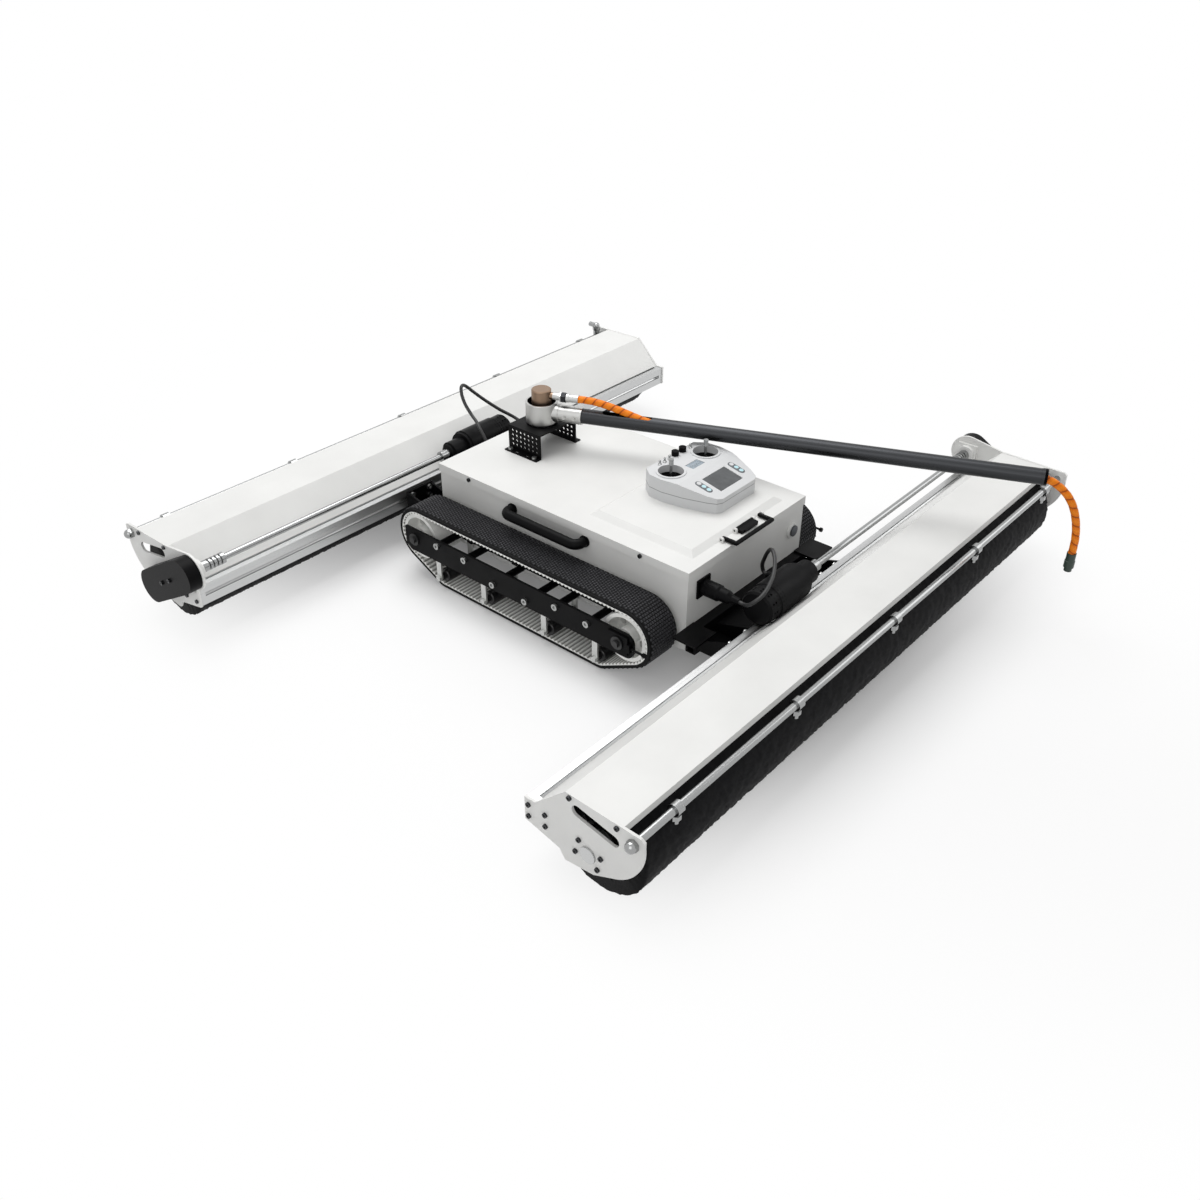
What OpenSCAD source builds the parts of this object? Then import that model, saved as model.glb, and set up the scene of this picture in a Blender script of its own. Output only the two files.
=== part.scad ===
// Tracked solar panel cleaning robot with two roller brush heads.
// X runs along the brushes, Y from the front brush (-Y) to the rear brush (+Y), Z is up.
// The origin lies on the ground under the middle of the whole machine, all sizes in mm.
// A brush head is drawn once, for the front. The rear head is the same one turned half a turn.

/* [Chassis] */
// Width of the lid
lid_w = 400; // [360:5:460]
// Length of the chassis body along Y
body_l = 682; // [640:2:720]
// How far the chassis is set towards the front brush
body_shift = 11; // [0:1:20]
// Height of the underside above the ground
body_z = 62; // [50:1:70]
// Height of the lid's top face
lid_z = 242; // [225:1:260]
// Thickness of the body and lid sheet
sheet_t = 2; // [1.5:0.5:3]
// Depth of the lid's turned-down rim
rim_h = 19; // [14:1:26]
// Gap between the lid's rim and the body
rim_gap = 0.3; // [0.2:0.1:0.6]
// Height of the raised panel on the lid
panel_h = 9; // [5:1:14]
// Width of the raised panel at its foot
panel_w = 306; // [260:2:320]
// Length of the raised panel at its foot
panel_l = 262; // [230:2:280]

/* [Tracks] */
// Width of a track belt
belt_w = 82; // [70:1:95]
// Radius of the end pulleys
pulley_r = 52; // [46:0.5:56]
// Height of the end pulleys' axles
pulley_z = 106; // [100:1:112]
// Distance between the two end pulleys' axles
pulley_base = 582; // [550:2:600]
// How far the tracks are set towards the rear brush
track_shift = 17; // [0:1:25]
// Radius of the road wheels
wheel_r = 15; // [12:0.5:18]
// Distance between road wheels
wheel_step = 150; // [140:1:156]
// Thickness of the rubber cover of the belt
cover_t = 10; // [7:0.5:13]
// Thickness of the toothed inner belt without its teeth
core_t = 3; // [2:0.5:4]
// Height of the inner teeth
tooth_h = 2.5; // [1.5:0.5:3]
// Spacing of the inner teeth
tooth_step = 10; // [8:0.5:14]
// Height of the track side bars
bar_h = 54; // [44:1:60]
// Thickness of the track side bars
bar_t = 6; // [4:0.5:8]
// Radius of the pulley axles
axle_r = 10; // [8:0.5:12]

/* [Brush heads] */
// Length of a head over its end plates
head_l = 1500; // [1200:10:1800]
// Distance from the robot's middle to the inner face of a beam
beam_u = 457; // [450:1:480]
// Width of the beam
beam_w = 36; // [34:1:37]
// Height of the beam
beam_h = 45; // [40:1:50]
// Height of the beam's underside
beam_z = 88; // [80:1:92]
// Distance from the beam's inner face to the roller's axis
roller_du = 132; // [132:1:138]
// Radius of the brush over its bristles
brush_r = 95; // [88:0.5:95]
// Height of the bristle tips above the ground at rest
brush_lift = 1; // [0.5:0.5:3]
// Radius of the roller tube
tube_r = 35; // [28:1:42]
// Radius of the roller's shaft
shaft_r = 10; // [8:0.5:12]
// Thickness of the end plates
plate_t = 5; // [4:0.5:8]
// Thickness of the hood's sheet
hood_t = 2; // [1.5:0.5:3]
// Height of the hood's top above the ground
hood_z = 197; // [194:1:206]
// Radius of the spray tube
spray_r = 7; // [5:0.5:9]
// Number of nozzles on a head
nozzles = 5; // [3:1:8]
// Distance of the end nozzles from the ends of a head, before their shift
nozzle_end = 90; // [70:5:150]
// Radius of the brush motor
motor_r = 37.5; // [32:0.5:37.5]
// Length of the brush motor
motor_l = 141; // [110:1:160]
// Radius of the drive shaft
drive_r = 7; // [5:0.5:8]
// Tufts of bristle along a roller
tuft_rows = 44; // [36:2:50]
// Tufts of bristle around a roller
tufts_round = 5; // [4:1:5]

/* [Hose arm] */
// Distance of the swivel from the robot's middle along X
swivel_x = 14; // [0:1:30]
// Distance of the swivel from the robot's middle along Y
swivel_y = 221; // [200:1:240]
// Height of the swivel bracket
bracket_h = 58; // [50:1:70]
// Length of the arm from the swivel to the pole's open end
arm_l = 1063; // [900:1:1200]
// Angle of the arm from +X at rest
arm_angle = -66.2; // [-70:0.1:-64]
// Outer radius of the pole
pole_r = 16.5; // [15:0.5:18]
// Wall of the pole
pole_wall = 2.5; // [2:0.5:3.5]
// Outer radius of the supply hose
hose_r = 8; // [6:0.5:8.5]

/* [Hand controller] */
// Distance of the hand controller from the robot's middle along X
remote_x = 70; // [50:1:72]
// Distance of the hand controller from the robot's middle along Y
remote_y = -180; // [-190:1:-170]
// Height of the controller's housing
remote_h = 50; // [44:1:52]
// Distance between the two sticks
stick_span = 118; // [110:1:124]

/* [Hidden] */
$fn = 48;

// Clearances: a shaft in its hole, a seat that only touches, parts that pass each other
run_gap = 0.05;
seat_gap = 0.3;
free_gap = 0.5;

// Colours
white_paint = "#f2f2f0";
black_steel = "#1b1b1c";
bare_metal = "#c9ccd0";
dark_rubber = "#161617";
grey_plastic = "#d9dadb";
hose_orange = "#ee6a14";

// Chassis
body_w = lid_w - 2 * (sheet_t + rim_gap);
front_y = -body_shift - body_l / 2;
rear_y = body_l / 2 - body_shift;
body_top = lid_z - sheet_t;
panel_y = front_y + 24 + panel_l / 2;
panel_slope = 14;

// Track loop
belt_t = cover_t + core_t + tooth_h;
frame_in = body_w / 2;
belt_in = frame_in + bar_t + 5;
belt_out = belt_in + belt_w;
bar_in = belt_out + 10;
frame_out = bar_in + bar_t;
wheel_z = belt_t + seat_gap + wheel_r;
pulley_y = pulley_base / 2;
loop_gap = free_gap + tooth_h;
bar_mid = 104;
bar_rear = pulley_base / 2 + 28;
bar_front = -pulley_base / 2 - 37;
strap_t = 4;
strap_w = 14;
wheel_axle_r = 4;
wheel_at = [-1.5, -0.58, 0.58, 1.5];
spacers = [[-211, 112], [-128, 115], [-44, 91], [49, 92], [132, 118], [216, 119]];

// Brush head, with u the distance from the robot's middle
beam_top = beam_z + beam_h;
roller_u = beam_u + roller_du;
roller_z = brush_r + brush_lift;
plate_x = head_l / 2;
plate_in = plate_x - plate_t;
spray_u = roller_u + 89;
spray_z = hood_z - 20;
plate_out = roller_u + 108;
ridge_u = beam_u + 86;
motor_u = beam_u + 3;
motor_z = beam_top + motor_r + seat_gap;
motor_end = 16;
motor_start = motor_end - motor_l;
gearbox_l = 44;
gearbox_r = 25;
gearbox_end = motor_end + gearbox_l;
bearing_l = 12;
bearing_r = 30;
cover_r = 37;
cover_depth = 28;
cover_wall = 2.5;
small_pulley_r = 18;
big_pulley_r = 27;
brush_belt_t = 3;
pulley_w = 16;
pulley_x = plate_x + 5;
core_end = plate_in - bearing_l - 2;
nozzle_l = 30;
nozzle_shift = 10;
nozzle_step = (head_l - 2 * nozzle_end) / (nozzles - 1);

// Swivel and arm
bracket_t = 3;
bracket_span = 57;
bracket_l = 96;
bracket_top = lid_z + bracket_h;
cup_r = 36;
cup_wall = 5;
cup_z = bracket_top + seat_gap;
cup_h = 50;
cup_pocket = 14;
pole_z = bracket_top + 26;
sleeve_r = 19.5;
sleeve_end = 95;
union_r = 22;
slot_start = 140;
slot_end = 252;
end_ring_l = 10;

// The whole machine is centred on its own length along Y
tip_reach = -(swivel_y + arm_l * sin(arm_angle)) + (pole_r + 1) * cos(arm_angle);
mid_y = (tip_reach - plate_out) / 2;

// Hand controller
remote_z = lid_z + panel_h;
stick_y = 36;
stick_z = 30;
cradle_r = 17;
stick_l = 49;
knob_xs = [5, 30];
knob_y = 75;

// Cable routes, round points along the middle of the cable
cable_r = 4;
gland_x = -8;
gland_l = 16;
plug_x = 150;
plug_z = 190;
plug_end = 86;
front_cable_route = [
    [-150, -438, 190], [-151, -448, 190], [-154, -460, 195], [-152, -472, 206],
    [-140, -478, 214], [-122, -477, 219], [-104, -472, 222], [-84, -465, 226],
    [-66, -456, 232], [-51, -446, 240], [-40, -436, 245], [-31, -426, 245],
    [-24, -416, 238], [-18, -407, 224], [-13, -399, 206], [-10, -394, 190],
    [-8, -395, 177], [-8, -400, 171.5], [-8, -406.5, 170.8]
];
rear_cable_route = [
    [150, 416, 190], [150, 428, 190], [146, 442, 196], [134, 453, 207],
    [118, 463, 220], [102, 476, 236], [86, 489, 253], [70, 500, 271],
    [56, 507, 287], [44, 508, 295], [34, 504, 292], [28, 496, 278],
    [26, 485, 260], [25, 471, 246], [23, 457, 236], [18, 440, 230],
    [11, 423, 221], [8, 407, 206], [7, 396, 190], [8, 395, 177],
    [8, 400, 171.5], [8, 406.5, 170.8]
];
// Hose route in the arm's own plane: distance from the swivel, height
hose_route = [
    [86, 364], [98, 364], [114, 363.5], [134, 361], [156, 356.5], [180, 350],
    [204, 342.5], [228, 335.5], [254, 329.5], [284, 326.5], [320, 326], [440, 326],
    [560, 326], [680, 326], [800, 326], [920, 326], [1020, 326], [1048, 325.5],
    [1070, 320], [1090, 309], [1108, 293], [1122, 273], [1132, 250], [1139, 225],
    [1143, 200], [1144, 180], [1144, 165]
];
connector_z = hose_route[len(hose_route) - 1][1];
connector_l = 42;

// Moves and directions

module on_robot() { translate([0, mid_y, 0]) children(); }
module half_turn() { rotate([0, 0, 180]) children(); }
module both_heads() {
    children();
    half_turn() children();
}
module both_sides() {
    children();
    mirror([1, 0, 0]) children();
}
// A flat outline in (Y, Z) made a prism along X from x0 to x1
module along_x(x0, x1) {
    translate([x0, 0, 0]) rotate([90, 0, 90]) linear_extrude(x1 - x0) children();
}
// A flat outline in (u, Z) of the front head made a prism along X
module head_prism(x0, x1) { along_x(x0, x1) mirror([1, 0, 0]) children(); }
// A lathe profile of (radius, distance) points turned about an axis along +X
module lathe_x(points) { rotate([0, 90, 0]) rotate_extrude() polygon(points); }
module lathe_y(points) { rotate([90, 0, 0]) rotate_extrude() polygon(points); }
// Tube or rod along X
module rod_x(r, x0, x1) { translate([x0, 0, 0]) rotate([0, 90, 0]) cylinder(r = r, h = x1 - x0); }
module at_roller() { translate([0, -roller_u, roller_z]) children(); }
module at_motor() { translate([0, -motor_u, motor_z]) children(); }
module on_arm() {
    translate([swivel_x, swivel_y, 0]) rotate([0, 0, arm_angle]) children();
}
// A slot outline with round ends between two points
module obround(a, b, r) {
    d = b - a;
    translate(a) rotate(atan2(d[1], d[0])) {
        circle(r);
        translate([norm(d), 0]) circle(r);
        translate([0, -r]) square([norm(d), 2 * r]);
    }
}

// Tight belt round circles given as [y, z, r], listed anticlockwise

function touch_dir(a, b) =
    let (d = [b[0] - a[0], b[1] - a[1]], l = norm(d), k = (a[2] - b[2]) / l)
    d / l * k + [d[1], -d[0]] / l * sqrt(1 - k * k);
function touch_points(c) = [
    for (i = [0:len(c) - 1])
        let (a = c[i], b = c[(i + 1) % len(c)], m = touch_dir(a, b))
        each [[a[0], a[1]] + m * a[2], [b[0], b[1]] + m * b[2]]
];
function grown(c, t) = [for (a = c) [a[0], a[1], a[2] + t]];
module loop_area(c) {
    polygon(touch_points(c));
    for (a = c) translate([a[0], a[1]]) circle(a[2], $fn = 96);
}
// Points every step along that belt, each with its outward direction
function straight_marks(a, b, step) =
    let (m = touch_dir(a, b), p = [a[0], a[1]] + m * a[2], q = [b[0], b[1]] + m * b[2],
        l = norm(q - p), n = floor(l / step))
    [for (i = [0:n - 1]) [p + (q - p) * (i + 0.5) / n, m]];
function turn_marks(z, a, b, step) =
    let (m = touch_dir(z, a), n = touch_dir(a, b), w = atan2(m[1], m[0]),
        s = (atan2(n[1], n[0]) - w + 720) % 360, k = floor(s * PI / 180 * a[2] / step))
    k < 1 ? [] : [for (i = [0:k - 1])
        let (g = w + s * (i + 0.5) / k, e = [cos(g), sin(g)])
        [[a[0], a[1]] + e * a[2], e]];
function loop_marks(c, step) = [
    for (i = [0:len(c) - 1])
        let (z = c[(i + len(c) - 1) % len(c)], a = c[i], b = c[(i + 1) % len(c)])
        each concat(turn_marks(z, a, b, step), straight_marks(a, b, step))
];
// Outline of the inner face: a tooth stands inwards at each mark
function toothed(c, step, h) = [
    for (m = loop_marks(c, step))
        let (p = m[0], e = m[1], s = [-e[1], e[0]], w = step / 4)
        each [p - s * w, p - s * w * 0.7 - e * h, p + s * w * 0.7 - e * h, p + s * w]
];

track_circles = [
    [pulley_y, pulley_z, pulley_r], [-pulley_y, pulley_z, pulley_r],
    [-1.5 * wheel_step, wheel_z, wheel_r], [1.5 * wheel_step, wheel_z, wheel_r]
];

// Tube swept along a route as one closed surface, with its ends square to it

function route_dir(p, i) =
    let (a = p[max(i - 1, 0)], b = p[min(i + 1, len(p) - 1)]) (b - a) / norm(b - a);
function carried(n, t) = let (v = n - t * (n * t)) v / norm(v);
function normals(p, i = 0, n = [0, 0, 1]) =
    let (t = route_dir(p, i), m = carried(norm(cross(n, t)) < 0.05 ? [0.9, 0.3, 0.1] : n, t))
    i == len(p) - 1 ? [m] : concat([m], normals(p, i + 1, m));
module tube_along(p, r, sides) {
    ns = normals(p);
    last = len(p) - 1;
    pts = [
        for (i = [0:last])
            let (t = route_dir(p, i), n = ns[i], b = cross(t, n))
            for (k = [0:sides - 1])
                p[i] + r * (n * cos(360 * k / sides) + b * sin(360 * k / sides))
    ];
    walls = [
        for (i = [0:last - 1], k = [0:sides - 1])
            let (a = i * sides + k, b = i * sides + (k + 1) % sides)
            each [[a, a + sides, b], [b, a + sides, b + sides]]
    ];
    ends = [
        [for (k = [0:sides - 1]) k],
        [for (k = [0:sides - 1]) last * sides + sides - 1 - k]
    ];
    polyhedron(pts, concat(walls, ends), convexity = 6);
}

// Sheet bent along a centre line, its two faces mitred where it bends
function normal_of(a, b) = [a[1] - b[1], b[0] - a[0]] / norm(b - a);
function face_point(p, i, s) =
    let (a = normal_of(p[max(i - 1, 0)], p[max(i, 1)]),
        b = normal_of(p[min(i, len(p) - 2)], p[min(i + 1, len(p) - 1)]))
    p[i] + s * (a + b) / (1 + a * b);
module sheet_outline(p, t) {
    polygon(concat(
        [for (i = [0:len(p) - 1]) face_point(p, i, t / 2)],
        [for (i = [len(p) - 1:-1:0]) face_point(p, i, -t / 2)]
    ));
}

// Raised panel with sloping sides
module sloped_side(w, h, s) {
    polygon([[-w / 2, 0], [w / 2, 0], [w / 2 - s, h], [s - w / 2, h]]);
}
module frustum(w, l, h, s) intersection() {
    along_x(-w / 2, w / 2) sloped_side(l, h, s);
    rotate([0, 0, 90]) along_x(-l / 2, l / 2) sloped_side(w, h, s);
}

// Fasteners: a cap head on its seat with a short shank below, axis along +Z

module bolt(r, l) {
    translate([0, 0, -l]) cylinder(r = r, h = l);
    difference() {
        cylinder(r = r * 1.8, h = r * 1.4);
        translate([0, 0, r * 0.6]) cylinder(r = r * 0.9, h = r, $fn = 6);
    }
}
module bolt_hole(r, l) translate([0, 0, -l - seat_gap]) cylinder(r = r + 0.1, h = l + 1 + seat_gap);
module facing_x() { rotate([0, 90, 0]) children(); }
module facing_front() { rotate([90, 0, 0]) children(); }

// Chassis

deck_w = body_w - 2 * sheet_t;
floor_z = body_z + sheet_t;
button_x = 158;
button_z = 178;
button_r = 12;
button_travel = 3;
socket_x = 150;
socket_z = 190;
socket_r = 13;
gear_y = track_shift + pulley_y;
gear_in = deck_w / 2 - 30;
rim_screws = [-237, 237];
rim_screw_z = lid_z - 8;
rim_screw_r = 2.5;
runner_h = 10;

module rim_screw_places() {
    for (y = rim_screws)
        both_sides() translate([lid_w / 2, y, rim_screw_z]) facing_x() children();
}
module socket_places() {
    translate([-socket_x, front_y, socket_z]) children();
    translate([socket_x, rear_y, socket_z]) half_turn() children();
}

module chassis_shell() color(white_paint) on_robot() difference() {
    union() {
        difference() {
            translate([-body_w / 2, front_y, body_z]) cube([body_w, body_l, body_top - body_z]);
            translate([-deck_w / 2, front_y + sheet_t, floor_z])
                cube([deck_w, body_l - 2 * sheet_t, body_top - floor_z - sheet_t]);
            translate([14 - deck_w / 2, front_y + sheet_t + 14, floor_z])
                cube([deck_w - 28, body_l - 2 * sheet_t - 28, body_top]);
        }
        for (x = [-70, 70])
            translate([x - 12, -128, body_z]) cube([24, 290, sheet_t + runner_h]);
        translate([button_x, front_y + 1, button_z]) facing_front() cylinder(r = 17, h = 7);
    }
    translate([button_x, front_y, button_z]) facing_front() {
        translate([0, 0, -1.6]) cylinder(r = button_r + seat_gap, h = 20);
        translate([0, 0, -10]) cylinder(r = 9.3, h = 20);
    }
    socket_places() facing_front() translate([0, 0, -5]) cylinder(r = socket_r - 2, h = 10);
    translate([0, gear_y, pulley_z]) rod_x(axle_r + 2, -body_w, body_w);
    rim_screw_places() bolt_hole(rim_screw_r, 8);
}

// Lid

handle_x = 2;
handle_half = 61;
handle_r = 4.5;
handle_y = front_y + 20;
handle_z = lid_z + 5;
handle_reach = 30;
pin_r = 2;
lug_gap = 0.3;
lug_t = 5;
latch_x0 = -17;
latch_x1 = 38;
latch_y = front_y + 21;
latch_z = lid_z + 5;

module lid_lug(x0, x1, y, z, r) difference() {
    union() {
        translate([x0, y - 5, lid_z - 0.5]) cube([x1 - x0, 10, z - lid_z + 0.5]);
        translate([0, y, z]) rod_x(5, x0, x1);
    }
    translate([0, y, z]) rod_x(r, x0 - 1, x1 + 1);
}

module chassis_lid() color(white_paint) on_robot() {
    difference() {
        union() {
            translate([-lid_w / 2, front_y - rim_gap - sheet_t, lid_z - rim_h])
                cube([lid_w, body_l + 2 * (rim_gap + sheet_t), rim_h]);
            translate([0, panel_y, lid_z]) frustum(panel_w, panel_l, panel_h, panel_slope);
        }
        translate([-body_w / 2 - rim_gap, front_y - rim_gap, lid_z - rim_h - 1])
            cube([body_w + 2 * rim_gap, body_l + 2 * rim_gap, rim_h + 1 - sheet_t]);
        translate([0, panel_y, lid_z - sheet_t - 0.001])
            frustum(panel_w - 5, panel_l - 5, panel_h, panel_slope);
        rim_screw_places() bolt_hole(rim_screw_r, 8);
        foot_bolt_places() bolt_hole(foot_bolt_r, foot_bolt_l);
    }
    for (s = [-1, 1])
        lid_lug(handle_x + s * (handle_half + handle_r + lug_gap + lug_t / 2) - lug_t / 2,
            handle_x + s * (handle_half + handle_r + lug_gap + lug_t / 2) + lug_t / 2,
            handle_y, handle_z, pin_r + run_gap);
    lid_lug(latch_x0 - lug_gap - lug_t, latch_x0 - lug_gap, latch_y, latch_z, pin_r + run_gap);
    lid_lug(latch_x1 + lug_gap, latch_x1 + lug_gap + lug_t, latch_y, latch_z, pin_r + run_gap);
}

module lid_handle() color(black_steel) on_robot() translate([handle_x, handle_y, handle_z]) {
    for (s = [-1, 1]) {
        translate([s * handle_half, 0, 0]) {
            sphere(handle_r);
            facing_front() cylinder(r = handle_r, h = handle_reach);
            translate([0, -handle_reach, 0]) sphere(handle_r);
        }
    }
    translate([0, -handle_reach, 0]) rod_x(handle_r, -handle_half, handle_half);
    pin = handle_half + handle_r + lug_gap + lug_t;
    rod_x(pin_r, -pin, -handle_half);
    rod_x(pin_r, handle_half, pin);
}

module lid_latch() color(black_steel) on_robot() translate([0, latch_y, latch_z]) {
    rod_x(4.5, latch_x0, latch_x1);
    translate([latch_x0, -15, -4.5]) cube([latch_x1 - latch_x0, 15, 7]);
    translate([latch_x0 + 8, -18, -2]) cube([latch_x1 - latch_x0 - 16, 5, 4]);
    rod_x(pin_r, latch_x0 - lug_gap - lug_t, latch_x1 + lug_gap + lug_t);
}

module power_button() color("#4a4c50") on_robot()
    translate([button_x, front_y, button_z]) facing_front() {
        translate([0, 0, 1.8]) cylinder(r = button_r, h = 7);
        translate([0, 0, -14]) cylinder(r = 9, h = 17);
        translate([0, 0, -14]) cylinder(r = 11, h = 9);
    }

battery_w = 236;
battery_l = 260;
battery_h = 104;
band_w = 20;
terminal_r = 7;
module battery_pack() color("#30343a") on_robot() translate([0, 12, floor_z + runner_h]) {
    difference() {
        translate([-battery_w / 2, -battery_l / 2, 0]) cube([battery_w, battery_l, battery_h]);
        for (y = [50 - battery_l / 2, battery_l / 2 - 50 - band_w]) {
            translate([-battery_w / 2 - 1, y, battery_h - 3]) cube([battery_w + 2, band_w, 4]);
            for (x = [-battery_w / 2 - 1, battery_w / 2 - 2])
                translate([x, y, -1]) cube([3, band_w, battery_h + 2]);
        }
    }
    for (x = [-60, 60])
        translate([x, 30 - battery_l / 2, battery_h - 1]) cylinder(r = terminal_r, h = 13);
}

board_w = 190;
board_l = 120;
board_h = 34;
fin_t = 4;
fin_h = 21;
module motor_controller() color("#3c4046") on_robot() translate([0, -240, floor_z]) {
    for (x = [15 - board_w / 2, board_w / 2 - 15], y = [15 - board_l / 2, board_l / 2 - 15])
        translate([x, y, 0]) cylinder(r = 5, h = 9);
    translate([-board_w / 2, -board_l / 2, 8]) cube([board_w, board_l, board_h]);
    for (i = [0:8])
        translate([5 - board_w / 2, 8 - board_l / 2 + i * 12.5, board_h + 7])
            cube([board_w - 10, fin_t, fin_h]);
    for (x = [-60, 0, 60]) translate([x - 10, board_l / 2 - 1, 14]) cube([20, 8, 16]);
}

gear_r = 34;
gear_off = 50;
track_motor_in = 52;
module track_motors() color("#4a4d52") on_robot() both_sides() difference() {
    union() {
        along_x(gear_in, deck_w / 2)
            loop_area([[gear_y, pulley_z, 19], [gear_y - gear_off, pulley_z, gear_r]]);
        translate([0, gear_y - gear_off, pulley_z]) {
            rod_x(gear_r - 3, track_motor_in, gear_in + 1);
            rod_x(gear_r - 8, track_motor_in - 8, track_motor_in + 1);
            rod_x(gear_r - 1, gear_in - 8, gear_in + 1);
        }
    }
    translate([0, gear_y, pulley_z]) rod_x(axle_r + run_gap, gear_in + 6, deck_w);
}

grip_r = 11;
grip_x = body_w / 2 + 27;
grip_z = 210;
grip_y0 = -93;
grip_y1 = 109;
grip_bend = 16;

module grip_end(y, s) translate([0, y, grip_z]) {
    rod_x(grip_r, body_w / 2, grip_x - grip_bend);
    rod_x(grip_r + 1.5, body_w / 2, body_w / 2 + 4);
    translate([grip_x - grip_bend, s * grip_bend, 0]) rotate([0, 0, s > 0 ? -90 : 0])
        rotate_extrude(angle = 90) translate([grip_bend, 0]) circle(grip_r);
}
module side_handles() color(black_steel) on_robot() both_sides() {
    grip_end(grip_y0, 1);
    grip_end(grip_y1, -1);
    translate([grip_x, grip_y1 - grip_bend, grip_z]) facing_front()
        cylinder(r = grip_r, h = grip_y1 - grip_y0 - 2 * grip_bend);
}

socket_face = 18;
module power_sockets() color("#202124") on_robot() socket_places() facing_front() difference() {
    union() {
        translate([-20, -20, 0]) cube([40, 40, 4]);
        cylinder(r = socket_r, h = socket_face);
    }
    translate([0, 0, -1]) cylinder(r = socket_r - 3, h = socket_face + 2);
    for (x = [-15, 15], y = [-15, 15]) translate([x, y, 0]) cylinder(r = 1.8, h = 9, center = true);
}

module motor_plugs() color(dark_rubber) on_robot() socket_places() facing_front() difference() {
    rotate_extrude() polygon([
        [0, 24], [socket_r + run_gap, 24], [socket_r + run_gap, 5], [16, 5], [16.5, 8], [16.5, 40],
        [14, 44], [13, 62], [8, 70], [6.5, plug_end], [0, plug_end]
    ]);
    for (a = [0:30:330])
        rotate([0, 0, a]) translate([16.8, 0, 12]) cylinder(r = 1, h = 22);
}

// Tracks

module on_track(side) {
    mirror([side, 0, 0]) translate([0, track_shift, 0]) children();
}
module bar_outline() {
    z0 = bar_mid - bar_h / 2;
    z1 = bar_mid + bar_h / 2;
    r = 20;
    polygon([
        [bar_front + r, z0], [bar_rear - 14, z0], [bar_rear, z0 + 12], [bar_rear, z1],
        [bar_front + r, z1], [bar_front, z1 - r], [bar_front, z0 + r]
    ]);
    for (z = [z0 + r, z1 - r]) translate([bar_front + r, z]) circle(r);
}
module strap_outline(y) {
    translate([y, wheel_z]) circle(strap_w / 2);
    translate([y - strap_w / 2, wheel_z]) square([strap_w, bar_mid - wheel_z]);
}
module side_holes() {
    translate([pulley_y, pulley_z]) circle(axle_r + run_gap);
    obround([-pulley_y - 8, pulley_z], [8 - pulley_y, pulley_z], axle_r + 2);
    for (w = wheel_at) translate([w * wheel_step, wheel_z]) circle(wheel_axle_r + run_gap);
}
module tension_plate(x) along_x(x, x + strap_t) difference() {
    translate([-pulley_y - 25, pulley_z - 20]) square([50, 40]);
    translate([-pulley_y, pulley_z]) circle(axle_r + run_gap);
}
module spacer_bolts() {
    for (p = spacers) translate([frame_out, p[0], p[1]]) facing_x() children();
}
module track_frame() {
    difference() {
        union() {
            for (x = [frame_in, bar_in]) along_x(x, x + bar_t) bar_outline();
            for (w = wheel_at, x = [frame_in + bar_t, bar_in - strap_t])
                along_x(x, x + strap_t) strap_outline(w * wheel_step);
            for (p = spacers) translate([0, p[0], p[1]]) rod_x(8, frame_in + 1, frame_out - 1);
        }
        along_x(frame_in - 1, frame_out + 1) side_holes();
        spacer_bolts() bolt_hole(4, 16);
    }
    tension_plate(frame_in + bar_t);
    tension_plate(frame_out);
    translate([frame_out, bar_front + 4, pulley_z - 9]) cube([strap_t + 4, 8, 18]);
    translate([frame_out + strap_t / 2 + 1, -pulley_y - 24, pulley_z]) facing_front() {
        cylinder(r = 2.5, h = 44);
        translate([0, 0, 38]) cylinder(r = 5, h = 6, $fn = 6);
    }
}
module track_frames() color(black_steel) on_robot() for (s = [0, 1]) on_track(s) track_frame();

module track_belt() difference() {
    union() {
        along_x(belt_in, belt_out) loop_area(grown(track_circles, seat_gap + belt_t - 3));
        along_x(belt_in + 4, belt_out - 4) loop_area(grown(track_circles, seat_gap + belt_t));
    }
    along_x(belt_in - 1, belt_out + 1)
        polygon(toothed(grown(track_circles, seat_gap + tooth_h), tooth_step, tooth_h));
}
module left_track_belt() color(dark_rubber) on_robot() on_track(1) track_belt();
module right_track_belt() color(dark_rubber) on_robot() on_track(0) track_belt();

// Pulley with a web between rim and hub, on its own axle from x0 to x1
module pulley(x0, x1) {
    a = belt_in + 2;
    b = belt_out - 2;
    m = (a + b) / 2;
    difference() {
        lathe_x([
            [0, a], [20, a], [20, m - 6], [pulley_r - 8, m - 6], [pulley_r - 8, a], [pulley_r, a],
            [pulley_r, b], [pulley_r - 8, b], [pulley_r - 8, m + 6], [20, m + 6], [20, b], [0, b]
        ]);
        for (k = [0:4]) rotate([k * 72, 0, 0]) translate([0, 0, 32]) rod_x(8, m - 10, m + 10);
    }
    rod_x(axle_r, x0, x1);
    rod_x(14, x1 - 0.5, x1 + 2.5);
    translate([x1 + 2, 0, 0]) facing_x() cylinder(r = 8, h = 6, $fn = 6);
}
module drive_pulley() translate([0, pulley_y, pulley_z])
    pulley(gear_in + 7, frame_out + free_gap);
module idler_pulley() translate([0, -pulley_y, pulley_z])
    pulley(frame_in + free_gap, frame_out + strap_t + free_gap);
module left_drive_pulley() color(white_paint) on_robot() on_track(1) drive_pulley();
module right_drive_pulley() color(white_paint) on_robot() on_track(0) drive_pulley();
module left_idler_pulley() color(white_paint) on_robot() on_track(1) idler_pulley();
module right_idler_pulley() color(white_paint) on_robot() on_track(0) idler_pulley();

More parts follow.
